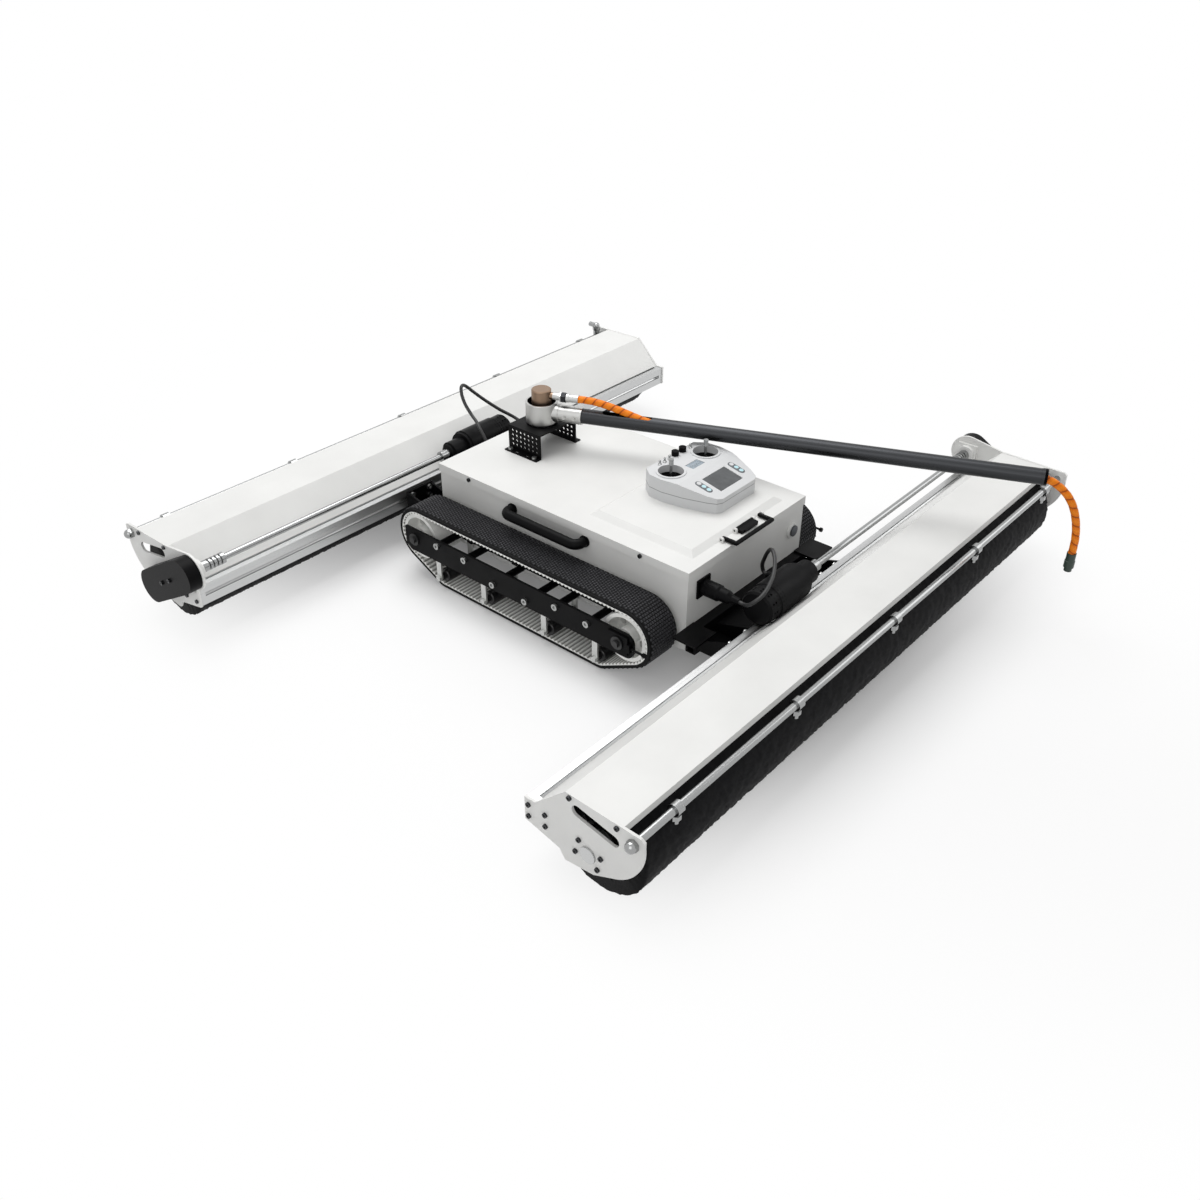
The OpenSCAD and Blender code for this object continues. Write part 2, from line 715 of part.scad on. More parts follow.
module road_wheel(i) translate([0, wheel_at[i] * wheel_step, wheel_z]) {
    a = belt_in + 5;
    b = belt_out - 4;
    lathe_x([
        [0, a - 4], [8, a - 4], [8, a], [wheel_r - 1.5, a], [wheel_r, a + 1.5], [wheel_r, b - 1.5],
        [wheel_r - 1.5, b], [8, b], [8, bar_in - strap_t - free_gap], [0, bar_in - strap_t - free_gap]
    ]);
    rod_x(wheel_axle_r, frame_in + bar_t - 2, bar_in + free_gap);
    translate([bar_in + free_gap - 0.2, 0, 0]) facing_x() cylinder(r = 7, h = 5, $fn = 6);
}
module left_road_wheel_1() color(bare_metal) on_robot() on_track(1) road_wheel(0);
module left_road_wheel_2() color(bare_metal) on_robot() on_track(1) road_wheel(1);
module left_road_wheel_3() color(bare_metal) on_robot() on_track(1) road_wheel(2);
module left_road_wheel_4() color(bare_metal) on_robot() on_track(1) road_wheel(3);
module right_road_wheel_1() color(bare_metal) on_robot() on_track(0) road_wheel(0);
module right_road_wheel_2() color(bare_metal) on_robot() on_track(0) road_wheel(1);
module right_road_wheel_3() color(bare_metal) on_robot() on_track(0) road_wheel(2);
module right_road_wheel_4() color(bare_metal) on_robot() on_track(0) road_wheel(3);

// Brush heads

arm_x0 = 123;
arm_x1 = 198;
arm_z = beam_z - 10;
arm_t = 6;
tray_z = 96;
arm_bolts = [[135, 96], [135, 116], [186, 96], [186, 116]];
arm_bolt_r = 4;

module arm_bolt_places() {
    for (p = arm_bolts)
        both_sides() translate([p[0], arm_t - beam_u, p[1]]) rotate([-90, 0, 0]) children();
}
// From the chassis face at distance d out to the beam
// Flat plates on the front cross member, ahead of the tracks
wing_x0 = 176;
wing_x1 = 242;
wing_gap = 2;
wing_w = 54;
module head_arms(d) {
    head_prism(-195, 195) difference() {
        translate([d, body_z - 2]) square([22, 56]);
        translate([d + 4, body_z + 2]) square([14, 48]);
    }
    difference() {
        both_sides() {
            head_prism(arm_x0, arm_x1) {
                translate([d + 20, arm_z]) square([beam_u - d - 20, arm_t]);
                translate([beam_u - arm_t, arm_z]) square([arm_t, beam_top - arm_z - 7]);
            }
            for (x = [arm_x0, arm_x1 - 5])
                head_prism(x, x + 5)
                    polygon([[d + 21, arm_z + 1], [beam_u - 1, arm_z + 1], [beam_u - 1, beam_top - 9],
                        [beam_u - arm_t, beam_top - 9], [d + 21, tray_z + 4]]);
        }
        arm_bolt_places() bolt_hole(arm_bolt_r, arm_t);
    }
    head_prism(-arm_x0 - 1, arm_x0 + 1) translate([d + 20, tray_z]) square([beam_u - d - 24, 4]);
}
module brush_arms() color(black_steel) on_robot() {
    head_arms(-front_y);
    both_sides() head_prism(wing_x0, wing_x1)
        translate([wing_gap - front_y, body_z + 54]) square([wing_w, 4]);
    half_turn() head_arms(rear_y);
}

module t_slot() {
    translate([-4, -11]) square([8, 12]);
    translate([-8, -8]) square([16, 5]);
    polygon([[-8, -7.9], [8, -7.9], [4, -11], [-4, -11]]);
}
module beam_outline() difference() {
    translate([beam_u, beam_z]) square([beam_w, beam_h]);
    translate([beam_u + beam_w / 2, beam_top]) t_slot();
    translate([beam_u + beam_w / 2, beam_z]) rotate(180) t_slot();
    translate([beam_u, beam_z + beam_h / 2]) rotate(90) t_slot();
    translate([beam_u + beam_w, beam_z + beam_h / 2]) rotate(-90) t_slot();
    for (u = [7, beam_w - 7], z = [7, beam_h - 7])
        translate([beam_u + u, beam_z + z]) circle(2.5);
    translate([beam_u + beam_w / 2, beam_z + beam_h / 2]) circle(3.5);
}
beam_bolts = [
    for (u = [7, 43], z = [10.5, 34.5]) [beam_u + u, beam_z + z]
];
cover_side_bolts = [beam_bolts[0], beam_bolts[2], beam_bolts[3]];
beam_block = 12;
module brush_beams() color(bare_metal) on_robot() both_heads() {
    head_prism(beam_block - plate_in, plate_in - beam_block) beam_outline();
    both_sides() head_prism(plate_in - beam_block, plate_in)
        translate([beam_u, beam_z]) square([beam_w + 14, beam_h]);
}

hood_line = [
    [beam_u + beam_w + 2, beam_top + hood_t / 2], [beam_u + 24, beam_top + hood_t / 2],
    [ridge_u, hood_z - hood_t / 2], [roller_u + 66, hood_z - hood_t / 2 - 2],
    [roller_u + 68, hood_z - 13]
];
hood_screws = [[roller_u - 37, hood_z - 6], [roller_u + 57, hood_z - 8]];
module hood() {
    head_prism(-plate_in, plate_in) sheet_outline(hood_line, hood_t);
    for (p = hood_screws)
        both_sides() head_prism(plate_in - beam_block, plate_in)
            translate(p - [6, 5]) square([12, 10]);
}
module front_hood() color(white_paint) on_robot() hood();
module rear_hood() color(white_paint) on_robot() half_turn() hood();

arc_c = [roller_u + 11, roller_z + 72];
arc_p = [plate_out, hood_z - 20];
arc_r = norm(arc_p - arc_c);
arc_a0 = atan2(arc_p[1] - arc_c[1], arc_p[0] - arc_c[0]);
arc_a1 = -66;
slot_a = [roller_u - 22, roller_z + 76];
slot_b = [roller_u + 50, roller_z + 62];
function polar(r, a) = r * [cos(a), sin(a)];
module plate_outline() {
    polygon([
        [beam_u - 2, beam_top + 2], [beam_u - 2, beam_z - 1], [roller_u - 60, roller_z - 26],
        [roller_u - 49, roller_z - 44], [roller_u + 10, roller_z - 37],
        arc_c + polar(arc_r, arc_a1), arc_c, arc_p, [plate_out, hood_z - 7],
        [plate_out - 7, hood_z - 2], [ridge_u, hood_z + 1], [beam_u + 21, beam_top + 2]
    ]);
    intersection() {
        translate(arc_c) circle(arc_r, $fn = 96);
        polygon([
            arc_c, arc_c + polar(2 * arc_r, arc_a1), arc_c + polar(2 * arc_r, arc_a1 / 2),
            arc_c + polar(2 * arc_r, arc_a0)
        ]);
    }
}
ear_r = 40;
ear_loop = [[ridge_u, hood_z + 1, 0], [motor_u, motor_z, ear_r]];
bearing_bolts = [
    for (u = [-1, 1], z = [-1, 1])
        [roller_u + 23 * u * cos(14) + 14.5 * z * sin(14),
            roller_z - 23 * u * sin(14) + 14.5 * z * cos(14)]
];
module plate_holes() {
    obround(slot_a, slot_b, 11);
    translate([roller_u, roller_z]) circle(shaft_r + run_gap);
    translate([spray_u, spray_z]) circle(spray_r + run_gap);
    for (p = concat(beam_bolts, hood_screws, bearing_bolts)) translate(p) circle(2.6);
}
module end_plate(drive) difference() {
    union() {
        head_prism(plate_in, plate_x) {
            plate_outline();
            if (drive) {
                polygon(touch_points(ear_loop));
                translate([motor_u, motor_z]) circle(ear_r);
            }
        }
        head_prism(plate_in - bearing_l, plate_in + 1) translate([roller_u, roller_z])
            circle(bearing_r + 4);
        if (drive) {
            at_motor() rod_x(20, plate_in - 14, plate_in + 1);
            head_prism(plate_in - 5, plate_in + 1) translate([motor_u, motor_z])
                square(46, center = true);
        }
    }
    head_prism(plate_in - bearing_l - 1, plate_x + 1) plate_holes();
    if (drive) at_motor() rod_x(drive_r + run_gap, plate_in - 15, plate_x + 1);
}
module end_plates() {
    end_plate(true);
    mirror([1, 0, 0]) end_plate(false);
}
module front_end_plates() color(white_paint) on_robot() end_plates();
module rear_end_plates() color(white_paint) on_robot() half_turn() end_plates();

dome_r = 11;
module spray_bar() translate([0, -spray_u, spray_z]) {
    difference() {
        rod_x(spray_r, -plate_x - 3, plate_x + 3);
        rod_x(spray_r - 1.5, -plate_x, plate_x);
    }
    both_sides() {
        translate([plate_x + seat_gap, 0, 0]) facing_x() cylinder(r = dome_r, h = 7, $fn = 6);
        translate([plate_x + 7, 0, 0]) intersection() {
            sphere(dome_r - 1);
            rod_x(dome_r, 0, dome_r);
        }
    }
}
module spray_bars() color(bare_metal) on_robot() {
    spray_bar();
    half_turn() spray_bar();
    // Inlet elbow on the rear bar
    half_turn() translate([30 - plate_x, -spray_u, spray_z]) {
        cylinder(r = 9, h = 24);
        translate([0, 0, 20]) cylinder(r = 11, h = 8, $fn = 6);
        translate([0, 0, 32]) sphere(9);
        translate([0, 0, 32]) facing_front() cylinder(r = 6.5, h = 24);
    }
}

nozzle_xs = [
    for (i = [0:nozzles - 1]) (i - (nozzles - 1) / 2) * nozzle_step + nozzle_shift
];
module spray_nozzle() rotate([180, 0, 0]) difference() {
    union() {
        rod_x(spray_r + 4, -8, 8);
        cylinder(r = 6, h = 16);
        translate([0, 0, 13]) cylinder(r = 8.5, h = 9, $fn = 6);
        translate([0, 0, 21]) cylinder(r = 4.5, h = nozzle_l - 21);
    }
    rod_x(spray_r + run_gap, -9, 9);
    translate([0, 0, nozzle_l - 6]) cylinder(r = 1.5, h = 7);
}
module spray_nozzles() color(bare_metal) on_robot() both_heads()
    for (x = nozzle_xs) translate([x, -spray_u, spray_z]) spray_nozzle();

foot_xs = [-100, -4];
module brush_motor() at_motor() difference() {
    union() {
        lathe_x([
            [0, motor_start], [motor_r - 6, motor_start], [motor_r - 2, motor_start + 4],
            [motor_r - 2, motor_start + 34], [motor_r, motor_start + 36], [motor_r, motor_end - 8],
            [motor_r - 3, motor_end - 7], [motor_r - 3, motor_end], [gearbox_r, motor_end],
            [gearbox_r, gearbox_end - 6], [gearbox_r - 5, gearbox_end - 5],
            [gearbox_r - 5, gearbox_end], [0, gearbox_end]
        ]);
        for (x = foot_xs)
            translate([x, -17, beam_top - motor_z]) cube([18, 17, 20]);
        translate([gland_x, motor_r - 3, 0]) rotate([-90, 0, 0]) {
            cylinder(r = 9, h = 9, $fn = 6);
            cylinder(r = 7, h = gland_l + 3);
        }
    }
    rod_x(drive_r + run_gap, gearbox_end - 20, gearbox_end + 1);
    for (a = [0:30:330], x = [12, 20])
        rotate([a, 0, 0]) translate([motor_start + x, 0, motor_r - 4]) cylinder(r = 2.5, h = 5);
}
module brush_motors() color("#8f9296") on_robot() both_heads() brush_motor();

// Slotted coupling beside the drive plate
coupling_l = 52;
coupling_step = 9;
coupling_cuts = 4;
module at_plate_coupling() translate([plate_in - 16 - coupling_l, 0, 0]) children();
module drive_shaft() at_motor() {
    rod_x(drive_r, gearbox_end - 19, pulley_x + pulley_w + 2);
    rod_x(12, gearbox_end + free_gap, gearbox_end + 25);
    at_plate_coupling() lathe_x([
        [0, 0], [12, 0],
        each [for (i = [0:coupling_cuts - 1]) each [
            [12, coupling_step * (i + 0.9)], [8.5, coupling_step * (i + 1)],
            [8.5, coupling_step * (i + 1.3)], [12, coupling_step * (i + 1.4)]
        ]],
        [12, coupling_l], [0, coupling_l]
    ]);
    lathe_x([
        [0, pulley_x], [small_pulley_r + 3, pulley_x], [small_pulley_r + 3, pulley_x + 2],
        [small_pulley_r, pulley_x + 2], [small_pulley_r, pulley_x + pulley_w - 2],
        [small_pulley_r + 3, pulley_x + pulley_w - 2], [small_pulley_r + 3, pulley_x + pulley_w],
        [0, pulley_x + pulley_w]
    ]);
}
module front_drive_shaft() color(bare_metal) on_robot() drive_shaft();
module rear_drive_shaft() color(bare_metal) on_robot() half_turn() drive_shaft();

module brush_core() at_roller() {
    difference() {
        rod_x(tube_r, -core_end, core_end);
        rod_x(tube_r - 3, 10 - core_end, core_end - 10);
    }
    rod_x(shaft_r, 12 - core_end - 2 * bearing_l, 1 - core_end);
    rod_x(shaft_r, -plate_x - 2, 1 - core_end);
    rod_x(shaft_r, core_end - 1, pulley_x + pulley_w + 2);
    rod_x(15, -plate_x - 3.5, -plate_x - free_gap);
    lathe_x([
        [0, pulley_x], [big_pulley_r, pulley_x], [big_pulley_r, pulley_x + pulley_w],
        [0, pulley_x + pulley_w]
    ]);
}
module front_brush_core() color("#2b2d30") on_robot() brush_core();
module rear_brush_core() color("#2b2d30") on_robot() half_turn() brush_core();

// Bristles: three-sided strands standing on a thin sleeve

sleeve_t = 2.5;
strand_w = 2.2;
tuft_pitch = (2 * core_end - 30) / tuft_rows;
strands = [
    for (i = [0:tuft_rows - 1], k = [0:tufts_round - 1])
        let (x = 15 - core_end + (i + 0.5) * tuft_pitch, a = 360 * (k + i * 0.382) / tufts_round)
        [x, a, brush_r - 2 * (1 + sin(i * 97 + k * 61)) / 2]
];
strand_points = [
    for (s = strands, r = [tube_r + sleeve_t - 1.2, s[2]], j = [0:2])
        let (t = strand_w * cos(j * 120), y = strand_w * sin(j * 120))
        [s[0] + t, r * cos(s[1]) - y * sin(s[1]), r * sin(s[1]) + y * cos(s[1])]
];
strand_faces = [
    for (i = [0:len(strands) - 1])
        let (b = 6 * i)
        each [[b + 2, b + 1, b], [b + 3, b + 4, b + 5], [b + 1, b + 3, b], [b + 4, b + 3, b + 1],
            [b + 2, b + 4, b + 1], [b + 5, b + 4, b + 2], [b, b + 5, b + 2], [b + 3, b + 5, b]]
];
module bristles() at_roller() {
    difference() {
        rod_x(tube_r + sleeve_t, 8 - core_end, core_end - 8);
        rod_x(tube_r + seat_gap / 10, 7 - core_end, core_end - 7);
    }
    polyhedron(strand_points, strand_faces, convexity = 10);
}
module front_bristles() color("#1d3f8f") on_robot() bristles();
module rear_bristles() color("#1d3f8f") on_robot() half_turn() bristles();

// Belt drive inside its cover, at the outer side of a drive plate

drive_circles = [
    [motor_u, motor_z, small_pulley_r], [roller_u, roller_z, big_pulley_r]
];
cover_line = [roller_u - motor_u, roller_z - motor_z];
cover_screws = [for (k = [0.34, 0.6]) [motor_u, motor_z] + cover_line * k];
cover_x = plate_x + cover_depth;
module cover_screw_places() {
    for (p = cover_screws) translate([cover_x, -p[0], p[1]]) facing_x() children();
}
function level(c, r) = [for (a = c) [a[0], a[1], r]];
module belt_cover() difference() {
    union() {
        difference() {
            head_prism(plate_x, cover_x) loop_area(level(drive_circles, cover_r));
            head_prism(plate_x - 1, cover_x - cover_wall)
                loop_area(level(drive_circles, cover_r - cover_wall));
        }
        for (p = cover_screws) translate([0, -p[0], p[1]]) rod_x(6, plate_x, cover_x - 1);
    }
    cover_screw_places() bolt_hole(2.5, 12);
}
module belt_covers() color(black_steel) on_robot() both_heads() belt_cover();

module brush_belt() head_prism(pulley_x + 3, pulley_x + pulley_w - 3) difference() {
    loop_area(grown(drive_circles, brush_belt_t));
    polygon(toothed(grown(drive_circles, seat_gap + 1.2), 5, 1.2));
}
module brush_belts() color(dark_rubber) on_robot() both_heads() brush_belt();

// Hose arm

leg_x = bracket_span;
foot_bolt_r = 3;
foot_bolt_l = 4;
foot_bolts = [for (s = [-1, 1], y = [-36, 36]) [s * (leg_x + 9), y]];
bracket_line = [
    [-leg_x - 16, lid_z + bracket_t / 2], [-leg_x, lid_z + bracket_t / 2],
    [-leg_x, bracket_top - bracket_t / 2], [leg_x, bracket_top - bracket_t / 2],
    [leg_x, lid_z + bracket_t / 2], [leg_x + 16, lid_z + bracket_t / 2]
];
module foot_bolt_places() {
    for (p = foot_bolts)
        translate([swivel_x + p[0], swivel_y + p[1], lid_z + bracket_t]) children();
}
module swivel_bracket() color(black_steel) on_robot() difference() {
    translate([swivel_x, swivel_y + bracket_l / 2, 0]) rotate([90, 0, 0])
        linear_extrude(bracket_l) {
            sheet_outline(bracket_line, bracket_t);
        }
    for (y = [-36:12:36], z = [14:11:bracket_h - 10])
        translate([swivel_x, swivel_y + y, lid_z + z]) rod_x(3.2, -leg_x - 5, leg_x + 5);
    for (s = [-1, 1], y = [-18, 12])
        translate([swivel_x + s * (leg_x + 9), swivel_y + y, lid_z - 1]) linear_extrude(9)
            obround([0, 0], [0, 8], 2.5);
    foot_bolt_places() bolt_hole(foot_bolt_r, foot_bolt_l);
    translate([swivel_x, swivel_y, bracket_top - 5]) cylinder(r = 12 + run_gap, h = 9);
}

post_r = 10;
module swivel_post() color(bare_metal) on_robot() translate([swivel_x, swivel_y, bracket_top]) {
    translate([0, 0, -bracket_t - 6]) cylinder(r = 22, h = 6);
    translate([0, 0, -bracket_t - 1]) cylinder(r = 12, h = bracket_t + 1);
    translate([0, 0, -1]) cylinder(r = post_r, h = cup_h - cup_pocket - 8);
}

module swivel_cup() color(bare_metal) on_arm_frame() difference() {
    union() {
        translate([0, 0, cup_z]) rotate_extrude() polygon([
            [0, 0], [cup_r - 4, 0], [cup_r - 1, 2], [cup_r, 5], [cup_r, cup_h - 1],
            [cup_r - 1, cup_h], [0, cup_h]
        ]);
        translate([0, 0, pole_z]) {
            rod_x(sleeve_r, 20, sleeve_end);
            rod_x(sleeve_r + 2, 20, cup_r + 6);
        }
        for (x = [58, 80]) translate([x, 0, pole_z]) facing_front()
            cylinder(r = 4, h = sleeve_r + 5, $fn = 6);
    }
    translate([0, 0, cup_z - 1]) cylinder(r = post_r + run_gap, h = cup_h - cup_pocket - 6);
    translate([0, 0, cup_z + cup_h - cup_pocket])
        cylinder(r = cup_r - cup_wall, h = cup_pocket + 1);
    translate([0, 0, pole_z]) rod_x(pole_r + run_gap, 44, sleeve_end + 1);
}
module on_arm_frame() { on_robot() on_arm() children(); }

module arm_pole() color("#3c3e41") on_arm_frame() translate([0, 0, pole_z]) difference() {
    union() {
        rod_x(pole_r, 44 + seat_gap, arm_l);
        rod_x(pole_r + 1, arm_l - end_ring_l, arm_l);
    }
    rod_x(pole_r - pole_wall, 43, arm_l + 1);
    translate([0, 0, 4]) linear_extrude(pole_r)
        obround([slot_start + 9, 0], [slot_end - 9, 0], 9);
}

hose_start = hose_route[0][0];
hose_z = hose_route[0][1];
module swivel_union() color("#a9793c") on_arm_frame() {
    translate([0, 0, cup_z + cup_h]) rotate_extrude() polygon([
        [0, -cup_pocket], [union_r, -cup_pocket], [union_r, 26], [union_r - 2, 28], [0, 28]
    ]);
    translate([0, 0, hose_z]) {
        rod_x(8, 15, 52);
        rotate([0, 90, 0]) translate([0, 0, 44]) cylinder(r = 12, h = 13, $fn = 6);
        lathe_x([
            [0, 55], [9.5, 55], [9.5, 64], [8.5, 66], [8.5, 84], [9.5, 84], [9.5, hose_start],
            [0, hose_start]
        ]);
    }
}

module supply_hose() color(hose_orange) on_arm_frame()
    tube_along([for (p = hose_route) [p[0], 0, p[1]]], hose_r, 10);

hose_end = hose_route[len(hose_route) - 1];
module hose_connector() color("#1d4d3b") on_arm_frame()
    translate([hose_end[0], 0, hose_end[1] - connector_l]) rotate_extrude() polygon([
        [6, 0], [8, 0], [8, 8], [10.5, 9], [10.5, 24], [9.5, 25], [9.5, connector_l],
        [0, connector_l], [0, connector_l - 6], [6, connector_l - 6]
    ]);

// Motor cables

module front_motor_cable() color(dark_rubber) on_robot()
    tube_along(front_cable_route, cable_r, 8);
module rear_motor_cable() color(dark_rubber) on_robot()
    tube_along(rear_cable_route, cable_r, 8);

// Hand controller

stick_xs = [-stick_span / 2, stick_span / 2];
well_r = 27;
well_z = 12;
pivot_r = 2;
yoke_out = 24;
yoke_in = 17;
module on_remote() { on_robot() translate([remote_x, remote_y, remote_z]) children(); }
module at_stick(i) { on_remote() translate([stick_xs[i], stick_y, stick_z]) children(); }
remote_plan = [
    [55, 93], [78, 86], [97, 62], [100, 28], [92, -20], [76, -70], [67, -88], [55, -94]
];
// The front of the top slopes down to the front edge
slope_y = -8;
remote_front = -94;
remote_drop = 18;
slope_a = atan2(remote_drop, slope_y - remote_front);
remote_side = [
    [remote_front, 0], [93, 0], [93, remote_h - 10], [84, remote_h], [slope_y, remote_h],
    [remote_front, remote_h - remote_drop]
];
module on_slope(x, d) translate([x, slope_y, remote_h]) rotate([slope_a, 0, 0])
    translate([0, -d, 0]) children();
screen_w = 76;
screen_l = 50;
screen_d = 20;
module remote_body() color(grey_plastic) on_remote() difference() {
    union() {
        intersection() {
            linear_extrude(remote_h + 1)
                polygon(concat(remote_plan,
                    [for (i = [len(remote_plan) - 1:-1:0]) [-remote_plan[i][0], remote_plan[i][1]]]));
            along_x(-120, 120) polygon(remote_side);
        }
        for (x = stick_xs) translate([x, stick_y, remote_h - 1]) cylinder(r = 32, h = 3);
        for (s = [-1, 1], d = [26, 39, 52]) on_slope(s * 56, d)
            translate([0, 0, -3]) cylinder(r = 5, h = 4.5);
        for (x = [-50, -34, -18, 54])
            translate([x, 72, remote_h - 1]) cylinder(r = 2, h = 10);
    }
    for (x = stick_xs) translate([x, stick_y, well_z]) {
        cylinder(r = well_r, h = remote_h);
        translate([0, 0, stick_z - well_z])
            rod_x(pivot_r + run_gap, -well_r - 3, well_r + 3);
    }
    on_slope(-screen_w / 2, screen_d + screen_l) translate([0, 0, -1.5])
        cube([screen_w, screen_l, 3]);
    translate([-20, 8, remote_h - 2]) cube([40, 22, 5]);
    for (x = knob_xs) translate([x, knob_y, remote_h - 8]) cylinder(r = 3 + run_gap, h = 9);
}
module stick_cradle(i) at_stick(i) {
    difference() {
        cylinder(r = yoke_out, h = 6, center = true);
        cylinder(r = yoke_in, h = 8, center = true);
        rotate([90, 0, 0]) cylinder(r = pivot_r + run_gap, h = 2 * yoke_out + 2, center = true);
    }
    rod_x(pivot_r, -well_r - 2, 1 - yoke_out);
    rod_x(pivot_r, yoke_out - 1, well_r + 2);
}
module stick(i) at_stick(i) {
    rotate([90, 0, 0]) cylinder(r = 5, h = 2 * yoke_in - 4, center = true);
    rotate([90, 0, 0]) cylinder(r = pivot_r, h = 2 * yoke_out - 2, center = true);
    cylinder(r = 3, h = stick_l - 9);
    difference() {
        translate([0, 0, stick_l - 12]) cylinder(r = 5, h = 12);
        for (a = [0:45:315])
            rotate([0, 0, a]) translate([5.4, 0, stick_l - 10]) cylinder(r = 1, h = 9);
    }
}
module left_stick_cradle() color("#2b2c2e") stick_cradle(0);
module right_stick_cradle() color("#2b2c2e") stick_cradle(1);
module left_stick() color(bare_metal) stick(0);
module right_stick() color(bare_metal) stick(1);

module remote_knob(i) on_remote() translate([knob_xs[i], knob_y, remote_h]) {
    translate([0, 0, -7]) cylinder(r = 3, h = 8);
    difference() {
        translate([0, 0, free_gap]) cylinder(r = 8, h = 10);
        translate([-1, 4, 9]) cube([2, 5, 3]);
    }
}
module left_knob() color(black_steel) remote_knob(0);
module right_knob() color(black_steel) remote_knob(1);

// Identical fasteners in one group

module plate_screws(drive) {
    for (p = concat(hood_screws, drive ? cover_side_bolts : concat(beam_bolts, bearing_bolts)))
        translate([plate_x, -p[0], p[1]]) facing_x() bolt(2.5, plate_t);
}
module head_fasteners() {
    plate_screws(true);
    mirror([1, 0, 0]) plate_screws(false);
    arm_bolt_places() bolt(arm_bolt_r - 0.1, arm_t);
    cover_screw_places() bolt(2.5, 10);
}
module fasteners() color(bare_metal) on_robot() {
    head_fasteners();
    half_turn() head_fasteners();
    rim_screw_places() bolt(rim_screw_r, 7);
    foot_bolt_places() bolt(foot_bolt_r, foot_bolt_l);
    for (s = [0, 1]) on_track(s) spacer_bolts() bolt(4, 14);
}

chassis_shell();
chassis_lid();
battery_pack();
motor_controller();
track_motors();
side_handles();
power_sockets();
swivel_bracket();
swivel_post();
track_frames();
left_track_belt();
right_track_belt();
brush_arms();
brush_beams();
front_hood();
rear_hood();
front_end_plates();
rear_end_plates();
spray_bars();
spray_nozzles();
brush_motors();
belt_covers();
brush_belts();
fasteners();
motor_plugs();
front_motor_cable();
rear_motor_cable();
lid_handle();
lid_latch();
power_button();
front_drive_shaft();
rear_drive_shaft();
front_brush_core();
rear_brush_core();
front_bristles();
rear_bristles();
left_drive_pulley();
left_idler_pulley();
right_drive_pulley();
right_idler_pulley();
left_road_wheel_1();
left_road_wheel_2();
left_road_wheel_3();
left_road_wheel_4();
right_road_wheel_1();
right_road_wheel_2();
right_road_wheel_3();
right_road_wheel_4();
swivel_cup();
arm_pole();
swivel_union();
supply_hose();
hose_connector();
remote_body();
left_stick_cradle();
left_stick();
right_stick_cradle();
right_stick();
left_knob();
right_knob();
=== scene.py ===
import bpy
import math
import numpy as np
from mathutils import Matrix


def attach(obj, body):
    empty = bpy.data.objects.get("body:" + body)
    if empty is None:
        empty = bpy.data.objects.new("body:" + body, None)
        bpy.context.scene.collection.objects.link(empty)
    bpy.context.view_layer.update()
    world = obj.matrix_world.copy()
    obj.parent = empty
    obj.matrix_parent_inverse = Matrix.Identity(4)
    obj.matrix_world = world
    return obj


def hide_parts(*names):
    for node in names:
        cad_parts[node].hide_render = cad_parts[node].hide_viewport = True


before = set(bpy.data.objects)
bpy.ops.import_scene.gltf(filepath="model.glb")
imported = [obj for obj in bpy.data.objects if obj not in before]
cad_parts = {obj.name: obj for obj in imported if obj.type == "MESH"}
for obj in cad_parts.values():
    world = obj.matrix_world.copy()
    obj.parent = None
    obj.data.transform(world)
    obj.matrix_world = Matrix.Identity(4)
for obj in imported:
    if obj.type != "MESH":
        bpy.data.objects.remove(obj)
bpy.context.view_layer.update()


# Camera
# A 35 mm lens at chest height, looking down on the front left corner of the machine. Its place and
# turn follow the vanishing lines of the two brush heads.
MID = 0.0308321  # the drawing's origin lies this far behind the frame's, in metres
lens = bpy.data.cameras.new("camera")
lens.sensor_width = 36.0
lens.lens = 34.99
lens.clip_end = 60.0
camera = bpy.data.objects.new("camera", lens)
camera.location = (-1.693, -1.432 + MID, 1.411)
camera.rotation_euler = (math.radians(56.203), 0.0, math.radians(-49.016))
bpy.context.scene.collection.objects.link(camera)
bpy.context.scene.camera = camera


# Water hose
# A rubber hose wound with a flat orange spiral guard. It leaves the silver fitting on the swivel,
# slips through the slot into the pole, comes out of its open end and hangs down with a coupling.
MM = 0.001


def paint(code):
    """Turns a six-digit sRGB colour into the linear colour that the shaders take."""
    c = np.array([int(code[i:i + 2], 16) for i in (1, 3, 5)]) / 255.0
    c = np.where(c <= 0.04045, c / 12.92, ((c + 0.055) / 1.055) ** 2.4)
    return (*c, 1.0)


def add(tree, kind, links=None, **settings):
    """Adds one node, sets its properties, and fills or links its inputs."""
    made = tree.nodes.new(kind)
    for key, value in settings.items():
        setattr(made, key, value)
    for key, value in (links or {}).items():
        if isinstance(value, bpy.types.NodeSocket):
            tree.links.new(value, made.inputs[key])
        else:
            made.inputs[key].default_value = value
    return made


def surface(name, code, metallic, roughness, specular=0.5):
    """A new material with its colour, metallic share, roughness and specular level on the
    shader's own sockets."""
    made = bpy.data.materials.new(name)
    made.use_nodes = True
    shader = made.node_tree.nodes["Principled BSDF"]
    shader.inputs["Base Color"].default_value = paint(code)
    shader.inputs["Metallic"].default_value = metallic
    shader.inputs["Roughness"].default_value = roughness
    shader.inputs["Specular IOR Level"].default_value = specular
    return made, made.node_tree, shader


def stops(ramp, *pairs):
    """Gives a colour ramp its stops, each a position and a colour."""
    points = ramp.color_ramp.elements
    for k, (at, code) in enumerate(pairs):
        point = points[k] if k < 2 else points.new(at)
        point.position = at
        point.color = paint(code)


